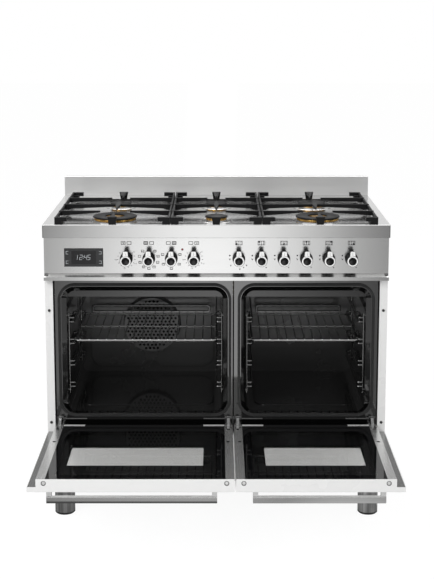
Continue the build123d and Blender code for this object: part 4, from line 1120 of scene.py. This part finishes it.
class COOKER_OT_door_glass(Operator):
    """Makes each door's clips, its two panes with their printed borders and the black liner between"""

    bl_idname = "cooker.door_glass"
    bl_label = "Door glass"

    def execute(self, context):
        for side, place in DOORS.items():
            body = "door_" + side
            node = body + "_glass"
            bottom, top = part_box(node)
            left, right = place["pane"]
            foot, head = bottom.y, top.y
            across, along = place["window"], WINDOW_Y

            clips = [make_clip(left, left + CLIP_LENGTH), make_clip(right - CLIP_LENGTH, right)]
            fit(joined(body + "_clips", clips), body + "_clips", body)

            inner = make_pane(
                (left, foot, top.z - PANE), (right, head, top.z), wider((left, right), -CLEAR_MARGIN),
                (foot + CLEAR_FOOT, head - CLEAR_HEAD), "clear_glass")
            wide, tall = wider(across, OUTER_MARGIN), wider(along, OUTER_MARGIN)
            outer = make_pane(
                (wide[0], tall[0], bottom.z), (wide[1], tall[1], bottom.z + PANE),
                across, along, "window_glass")
            panes = joined(body + "_panes", [inner, outer])
            fit(panes, body + "_panes", body, [node])

            liner_z = bottom.z + PANE + LINER_GAP
            liner = make_liner(
                (left + LINER_EDGE, foot + LINER_FOOT, liner_z),
                (right - LINER_EDGE, head - LINER_HEAD, liner_z + LINER_THICKNESS),
                wider(across, LINER_MARGIN), wider(along, LINER_MARGIN))
            fit(liner, body + "_liner", body)
        return {"FINISHED"}


SEGMENTS = {
    "0": "abcdef", "1": "bc", "2": "abged", "3": "abgcd", "4": "fgbc", "5": "afgcd", "7": "abc",
}
SEGMENT_PLACES = {
    "a": (0, 1, True), "d": (0, -1, True), "g": (0, 0, True), "b": (1, 0.5, False), "c": (1, -0.5, False),
    "f": (-1, 0.5, False), "e": (-1, -0.5, False),
}
MODE_ANGLES = {1: (40, 76, 112, 147, 180, 213, 248, 284, 320), 2: (65, 124, 180, 236, 295)}
HEAT_ANGLES = range(48, 320, 24)
BURNER_DOTS = ((0, 0), (0, 1), (1, 0), (1, 1), (2, 1), (2, 0))
FLAMES = [(-26.0, -1.5, 1.0), (14.0, -25.5, 0.7)]
FIRST_FLAMES = [(-23.0, -20.0, 0.8), (3.0, -30.5, 0.9), (22.5, -19.5, 0.8)]


class Print:
    """Strokes of ink on one upright face, placed in millimetres from a centre."""

    def __init__(self, face, depth):
        begin()
        bpy.ops.mesh.primitive_plane_add(size=1.0)
        self.piece = bpy.context.active_object
        edit(self.piece)
        bpy.ops.mesh.delete(type="VERT")
        self.face = face
        self.depth = depth

    def centre(self, x, z):
        """Sets the centre that the next strokes are placed from."""
        self.x = x
        self.z = z

    def stroke(self, x, z, length, width, angle=0.0):
        """Adds one stroke to the open piece."""
        bpy.ops.mesh.primitive_cube_add(
            size=1.0, location=(self.x + x * MM, self.face - self.depth / 2, self.z + z * MM),
            rotation=(0.0, angle, 0.0), scale=(length * MM, self.depth, width * MM))

    def outline(self, x, z, width, height, line):
        """Adds the four strokes of a box sign."""
        for side in (-1, 1):
            self.stroke(x, z + side * (height - line) / 2, width, line)
            self.stroke(x + side * (width - line) / 2, z, line, height - 2 * line)

    def numeral(self, text, x, z, height, line, slant=0.0, wide=0.5, space=1.9):
        """Adds seven-stroke numbers, with their middle at a point."""
        width = height * wide
        gap = line * space
        lean = math.radians(slant)
        advance = [line if letter == ":" else width for letter in text]
        left = x - (sum(advance) + gap * (len(text) - 1)) / 2
        for letter, room in zip(text, advance):
            middle = left + room / 2
            left += room + gap
            if letter == ":":
                dot = line * 1.7
                for lift in (-0.2 * height, 0.2 * height):
                    self.stroke(middle + lift * math.tan(lean), z + lift, dot, dot, lean)
                continue
            for part in SEGMENTS[letter]:
                dx, dz, flat = SEGMENT_PLACES[part]
                dx = 0 if letter == "1" else dx
                lift = dz * (height - line) / 2
                aside = dx * (width - line) / 2 + lift * math.tan(lean)
                if flat:
                    self.stroke(middle + aside, z + lift, width - line * 0.5, line)
                else:
                    self.stroke(middle + aside, z + lift, line, height / 2 - line * 0.5, lean)

    def finish(self, name, finish, slot):
        """Closes the piece and rides it on the cabinet."""
        begin()
        coat(self.piece, finish)
        fit(self.piece, name, "cabinet")


def around(degrees, across, up):
    """A place at an angle from upright round a knob's axis."""
    angle = math.radians(degrees)
    return math.sin(angle) * across, math.cos(angle) * up


def print_oven_signs(sheet, place, size):
    """Prints a pair of oven signs, with the knob's own oven marked for mode or for heat."""
    wide, high, line = size.icon_width / MM, size.icon_height / MM, size.line / MM
    for side in (-1, 1):
        x = side * (wide / 2 + 1.9)
        sheet.outline(x, 0.0, wide, high, line)
        if (side < 0) != (place < 2):
            continue
        if place in MODE_ANGLES:
            for up in (-1, 1):
                sheet.stroke(x, up * (high / 2 - 1.6), wide, 3.4)
        else:
            sheet.stroke(x - 1.0, 0.4, 5.2, line, 0.9)
            sheet.stroke(x + 1.8, -0.2, 4.0, line, -0.9)


def print_heat_scale(sheet):
    """Prints the ticks and numbers round a heat knob."""
    for number, degrees in enumerate(HEAT_ANGLES):
        sheet.stroke(*around(degrees, 25.2, 25.2), 3.4, 1.5, math.radians(degrees) - math.pi / 2)
        if number % 3 == 0:
            sheet.numeral(str(50 + number * 20), *around(degrees, 30.5, 30.0), 3.2, 0.5)


def print_mode_signs(sheet, angles):
    """Prints the box signs round a mode knob."""
    for number, degrees in enumerate(angles):
        x, z = around(degrees, 27.5, 29.0)
        sheet.outline(x, z, 8.8, 7.2, 1.3)
        if number % 3 == 0:
            sheet.stroke(x, z + 1.6, 5.6, 0.9)
        if number % 2 == 0:
            sheet.stroke(x, z - 1.6, 5.6, 0.9)
        if number % 4 == 1:
            for lean in (0.8, -0.8):
                sheet.stroke(x, z, 4.0, 0.8, lean)


def print_burner_map(sheet, place):
    """Prints the map of the six burners, with the knob's own burner marked."""
    sheet.outline(0.0, 0.0, 21.0, 12.4, 1.3)
    for column in range(3):
        for row in range(2):
            dot = 4.4 if (column, row) == BURNER_DOTS[place] else 2.6
            for turn in (0.0, math.pi / 4):
                sheet.stroke((column - 1) * 6.2, (row - 0.5) * 5.6, dot, dot, turn)


def print_flames(sheet, flames):
    """Prints the spark and the flame signs round a gas knob."""
    for turn in range(3):
        sheet.stroke(-26.0, 9.0, 4.4, 1.8, turn * math.pi / 3)
    for x, z, scale in flames:
        sheet.stroke(x - 1.1 * scale, z, 5.4 * scale, 1.2, 1.15)
        sheet.stroke(x + 1.1 * scale, z - 0.3, 4.6 * scale, 1.2, -1.15)
        sheet.stroke(x, z - 2.1 * scale, 3.4 * scale, 1.2)


class COOKER_OT_panel_print(Operator):
    """Prints the oven signs, burner maps, scales and marks on the control panel"""

    bl_idname = "cooker.panel_print"
    bl_label = "Panel print"

    def execute(self, context):
        size = context.scene.cooker_print
        sheet = Print(PANEL_FACE, size.thickness)
        axes = {name: (KNOB_AXIS[name][0], KNOB_AXIS[name][2]) for name in KNOB_NAMES}
        for place, (x, z) in enumerate(sorted(axes[name] for name in axes if "oven" in name)):
            sheet.centre(x, SIGN_HEIGHT)
            print_oven_signs(sheet, place, size)
            sheet.centre(x, z)
            if place in MODE_ANGLES:
                print_mode_signs(sheet, MODE_ANGLES[place])
            else:
                print_heat_scale(sheet)
        for place, (x, z) in enumerate(sorted(axes[name] for name in axes if "oven" not in name)):
            sheet.centre(x, SIGN_HEIGHT)
            print_burner_map(sheet, place)
            sheet.centre(x, z)
            print_flames(sheet, FLAMES + FIRST_FLAMES if place == 0 else FLAMES)
        sheet.finish("panel_print", "panel_ink", "black_plastic")
        return {"FINISHED"}


class COOKER_OT_display(Operator):
    """Puts the clock's digits and the touch marks on the display"""

    bl_idname = "cooker.display"
    bl_label = "Clock display"

    def execute(self, context):
        low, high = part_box("display_module")
        sheet = Print(low.y, 0.08 * MM)
        sheet.centre((low.x + high.x) / 2, (low.z + high.z) / 2)
        sheet.numeral("12:45", -1.5, 0.4, 14.5, 0.85, slant=8.0, wide=0.54, space=2.6)
        for side in (-1, 1):
            for z in (-14.0, 14.0):
                sheet.stroke(side * 50.9, z, 0.7, 8.4)
                for end in (-3.9, 3.9):
                    sheet.stroke(side * 47.5, z + end, 6.2, 0.7)
        sheet.finish("display_marks", "lit_digits", "display_black")
        return {"FINISHED"}


def screw_head(radius, rise):
    """One socket screw head, upright, with its seat at height zero; sizes in millimetres."""
    return turned([
        (radius - 0.2, -0.3), (radius, 0.0), (radius, rise * 0.45), (radius * 0.86, rise * 0.85),
        (radius * 0.66, rise), (radius * 0.5, rise), (radius * 0.46, rise * 0.35)], 24)


def fit_screws(head, finish, name, body, places):
    """Copies a screw head to its places, joins the copies and rides them on a body."""
    coat(head, finish)
    made = [copied(head, name, place) for place in places]
    fit(joined(name, made), name, body)


class COOKER_OT_screws(Operator):
    """Fits the small screws of the doors and the rear cover"""

    bl_idname = "cooker.screws"
    bl_label = "Screws"

    def execute(self, context):
        flat_head = screw_head(4.8, 0.4)
        cap_head = facing_front(screw_head(4.7, 1.3))
        rear_head = screw_head(4.2, 1.4)
        rear_head.data.transform(Matrix.Rotation(math.radians(-90.0), 4, "X"))
        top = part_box("door_left_frame")[1].z
        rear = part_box("rear_cover")[1].y
        for kind, head, finish, y, z in (
            ("stile_screws", flat_head, "black_plastic", STILE_SCREW_Y, top),
            ("end_screws", cap_head, "satin_chrome", DOOR_TIP + 1.6 * MM, END_SCREW_HEIGHT),
        ):
            for side, door in DOORS.items():
                body = "door_" + side
                fit_screws(head, finish, body + "_" + kind, body, [(x, y, z) for x in door[kind]])
        backs = [(x, rear, z) for x, z in REAR_SCREWS]
        fit_screws(rear_head, "steel_hinge", "rear_cover_screws", "cabinet", backs)
        for head in (flat_head, cap_head, rear_head):
            bpy.data.objects.remove(head)
        return {"FINISHED"}


# What gloss mirrors: a strip of floor that fans out, a darker patch of floor under the cooker, and a room
# that is darker in front and in a band all round.
STRIP_MIDDLE = -0.07
STRIP_START = 3.66
STRIP_FAN = 0.17
PATCH_MIDDLE = -0.17
PATCH_X = (0.3, 0.75)
PATCH_Y = (0.95, 1.35)
FLOOR_SHARE = 0.88
ROOM_REAR = (-0.2, 0.1)
BAND_START = (0.22, 0.28)
BAND_END = (0.45, 0.65)


class StageTree(Tree):
    """The emptied node tree of the floor or the room."""

    def __init__(self, tree):
        super().__init__(tree)
        self.nodes.clear()
        self.path = self.add("LightPath").outputs
        self.seen = self.reckon("MAXIMUM", self.path["Is Camera Ray"], self.path["Is Transmission Ray"])

    def place(self, title):
        """The three parts of a place or direction."""
        return self.add("SeparateXYZ", self.add("TexCoord").outputs[title]).outputs

    def eased(self, source, start, end, low, high):
        """A value that goes smoothly from low to high between start and end."""
        return self.spread(source, low, high, start, end, "SMOOTHSTEP")


def lamp(name, place, aim, size, power):
    """A large soft lamp aimed at a point."""
    light = bpy.data.lights.new(name, "AREA")
    light.shape = "RECTANGLE"
    light.size, light.size_y = size
    light.energy = power
    holder = bpy.data.objects.new(name, light)
    holder.location = place
    holder.rotation_euler = (Vector(aim) - Vector(place)).to_track_quat("-Z", "Y").to_euler()
    bpy.context.collection.objects.link(holder)


def make_floor(stage):
    """The floor: white to the eye, with a bright strip that steel mirrors, and the cooker's shadow."""
    begin()
    bpy.ops.mesh.primitive_grid_add(x_subdivisions=12, y_subdivisions=12, size=40.0)
    floor = bpy.context.active_object
    floor.name = "studio_floor"
    material = bpy.data.materials.new("studio_floor")
    material.use_nodes = True
    tree = StageTree(material.node_tree)
    where = tree.place("Object")
    across = tree.reckon("ABSOLUTE", tree.reckon("SUBTRACT", where["X"], STRIP_MIDDLE))
    along = tree.reckon("ABSOLUTE", where["Y"])
    slope = tree.reckon("DIVIDE", across, tree.reckon("ADD", along, STRIP_START))
    fall = tree.eased(slope, 0.0, STRIP_FAN, stage.strip_centre, stage.strip_side)
    aside = tree.reckon("ABSOLUTE", tree.reckon("SUBTRACT", where["X"], PATCH_MIDDLE))
    clear_aside = tree.eased(aside, *PATCH_X, stage.floor_near, 1.0)
    clear_along = tree.eased(along, *PATCH_Y, stage.floor_near, 1.0)
    mirrored = tree.reckon("MULTIPLY", fall, tree.reckon("MAXIMUM", clear_aside, clear_along))
    white = tree.reckon("MULTIPLY", tree.seen, stage.floor_white)
    lit = tree.reckon("MAXIMUM", tree.seen, tree.path["Is Glossy Ray"])

    plain = tree.add("BsdfDiffuse", named={"Color": (*stage.floor_colour, 1.0)})
    shine = tree.add("Emission", named={"Strength": tree.reckon("MAXIMUM", white, mirrored)})
    share = tree.reckon("MULTIPLY", lit, FLOOR_SHARE)
    mix = tree.add("MixShader", share, plain.outputs[0], shine.outputs[0])
    tree.add("OutputMaterial", named={"Surface": mix.outputs[0]})
    floor.data.materials.append(material)


def make_room(stage):
    """The room: white to the eye, even light, and a darker front that gloss mirrors."""
    world = bpy.data.worlds.new("studio_room")
    bpy.context.scene.world = world
    world.use_nodes = True
    tree = StageTree(world.node_tree)
    where = tree.place("Generated")
    rear = tree.eased(where["Y"], *ROOM_REAR, stage.room_front, 1.0)
    low = tree.eased(where["Z"], *BAND_START, 1.0, stage.room_front)
    high = tree.eased(where["Z"], *BAND_END, stage.room_front, 1.0)
    mirrored = tree.reckon("MAXIMUM", tree.reckon("MINIMUM", rear, low), high)
    glossy = tree.path["Is Glossy Ray"]
    shiny = tree.reckon("MULTIPLY", glossy, mirrored)
    even = tree.reckon("MULTIPLY", tree.reckon("SUBTRACT", 1.0, glossy), stage.sky_strength)
    level = tree.reckon("MAXIMUM", tree.seen, tree.reckon("ADD", shiny, even))
    room = tree.add("Background", named={"Color": (1.0, 1.0, 1.0, 1.0), "Strength": level})
    tree.add("OutputWorld", named={"Surface": room.outputs[0]})


def make_camera(stage):
    """The camera that looks down at the open doors."""
    view = bpy.data.cameras.new("studio_camera")
    view.lens = stage.lens
    view.sensor_width = 36.0
    view.shift_y = stage.lens_shift
    view.clip_end = 100.0
    holder = bpy.data.objects.new("studio_camera", view)
    holder.location = stage.camera_place
    holder.rotation_euler = (math.radians(90.0) - stage.camera_pitch, 0.0, 0.0)
    bpy.context.collection.objects.link(holder)
    bpy.context.scene.camera = holder


class COOKER_OT_stage(Operator):
    """Sets the floor, the room, the lamps and the camera"""

    bl_idname = "cooker.stage"
    bl_label = "Stage"

    def execute(self, context):
        stage = context.scene.cooker_stage
        make_floor(stage)
        make_room(stage)
        lamp("key_lamp", (-2.6, -3.2, 3.4), (0.0, 0.0, 0.5), (2.2, 2.2), stage.key_power)
        lamp("fill_lamp", (3.0, -2.6, 2.2), (0.0, 0.0, 0.5), (1.8, 1.8), stage.fill_power)
        lamp("top_lamp", (0.0, 0.6, 3.2), (0.0, 0.2, 0.9), (2.6, 1.4), stage.top_power)
        make_camera(stage)
        context.scene.view_settings.view_transform = "Standard"
        return {"FINISHED"}


class COOKER_PT_pieces(Panel):
    """The cooker's pieces and their settings"""

    bl_idname = "COOKER_PT_pieces"
    bl_label = "Range cooker"
    bl_space_type = "VIEW_3D"
    bl_region_type = "UI"
    bl_category = "Cooker"

    def draw(self, context):
        for operator in OPERATORS:
            self.layout.operator(operator.bl_idname)
        for name, kind in SETTINGS.items():
            box = self.layout.box()
            box.label(text=kind.__doc__)
            for title in kind.__annotations__:
                box.prop(getattr(context.scene, name), title)


SETTINGS = {
    "cooker_stage": StageSettings,
    "cooker_finish": FinishSettings,
    "cooker_knob": KnobSettings,
    "cooker_burner": BurnerSettings,
    "cooker_print": PrintSettings,
}
OPERATORS = (
    COOKER_OT_finishes,
    COOKER_OT_knobs,
    COOKER_OT_burners,
    COOKER_OT_door_glass,
    COOKER_OT_panel_print,
    COOKER_OT_display,
    COOKER_OT_screws,
    COOKER_OT_stage,
)


def register():
    """Registers the settings, the operators and the panel."""
    for name, kind in SETTINGS.items():
        bpy.utils.register_class(kind)
        setattr(bpy.types.Scene, name, PointerProperty(type=kind))
    for kind in OPERATORS:
        bpy.utils.register_class(kind)
    bpy.utils.register_class(COOKER_PT_pieces)


def unregister():
    """Takes all of them away again."""
    bpy.utils.unregister_class(COOKER_PT_pieces)
    for kind in reversed(OPERATORS):
        bpy.utils.unregister_class(kind)
    for name, kind in SETTINGS.items():
        delattr(bpy.types.Scene, name)
        bpy.utils.unregister_class(kind)


def main():
    """Builds every piece in order."""
    register()
    bpy.ops.cooker.finishes()
    bpy.ops.cooker.knobs()
    bpy.ops.cooker.burners()
    bpy.ops.cooker.door_glass()
    bpy.ops.cooker.panel_print()
    bpy.ops.cooker.display()
    bpy.ops.cooker.screws()
    bpy.ops.cooker.stage()
    begin()


if __name__ == "__main__":
    main()
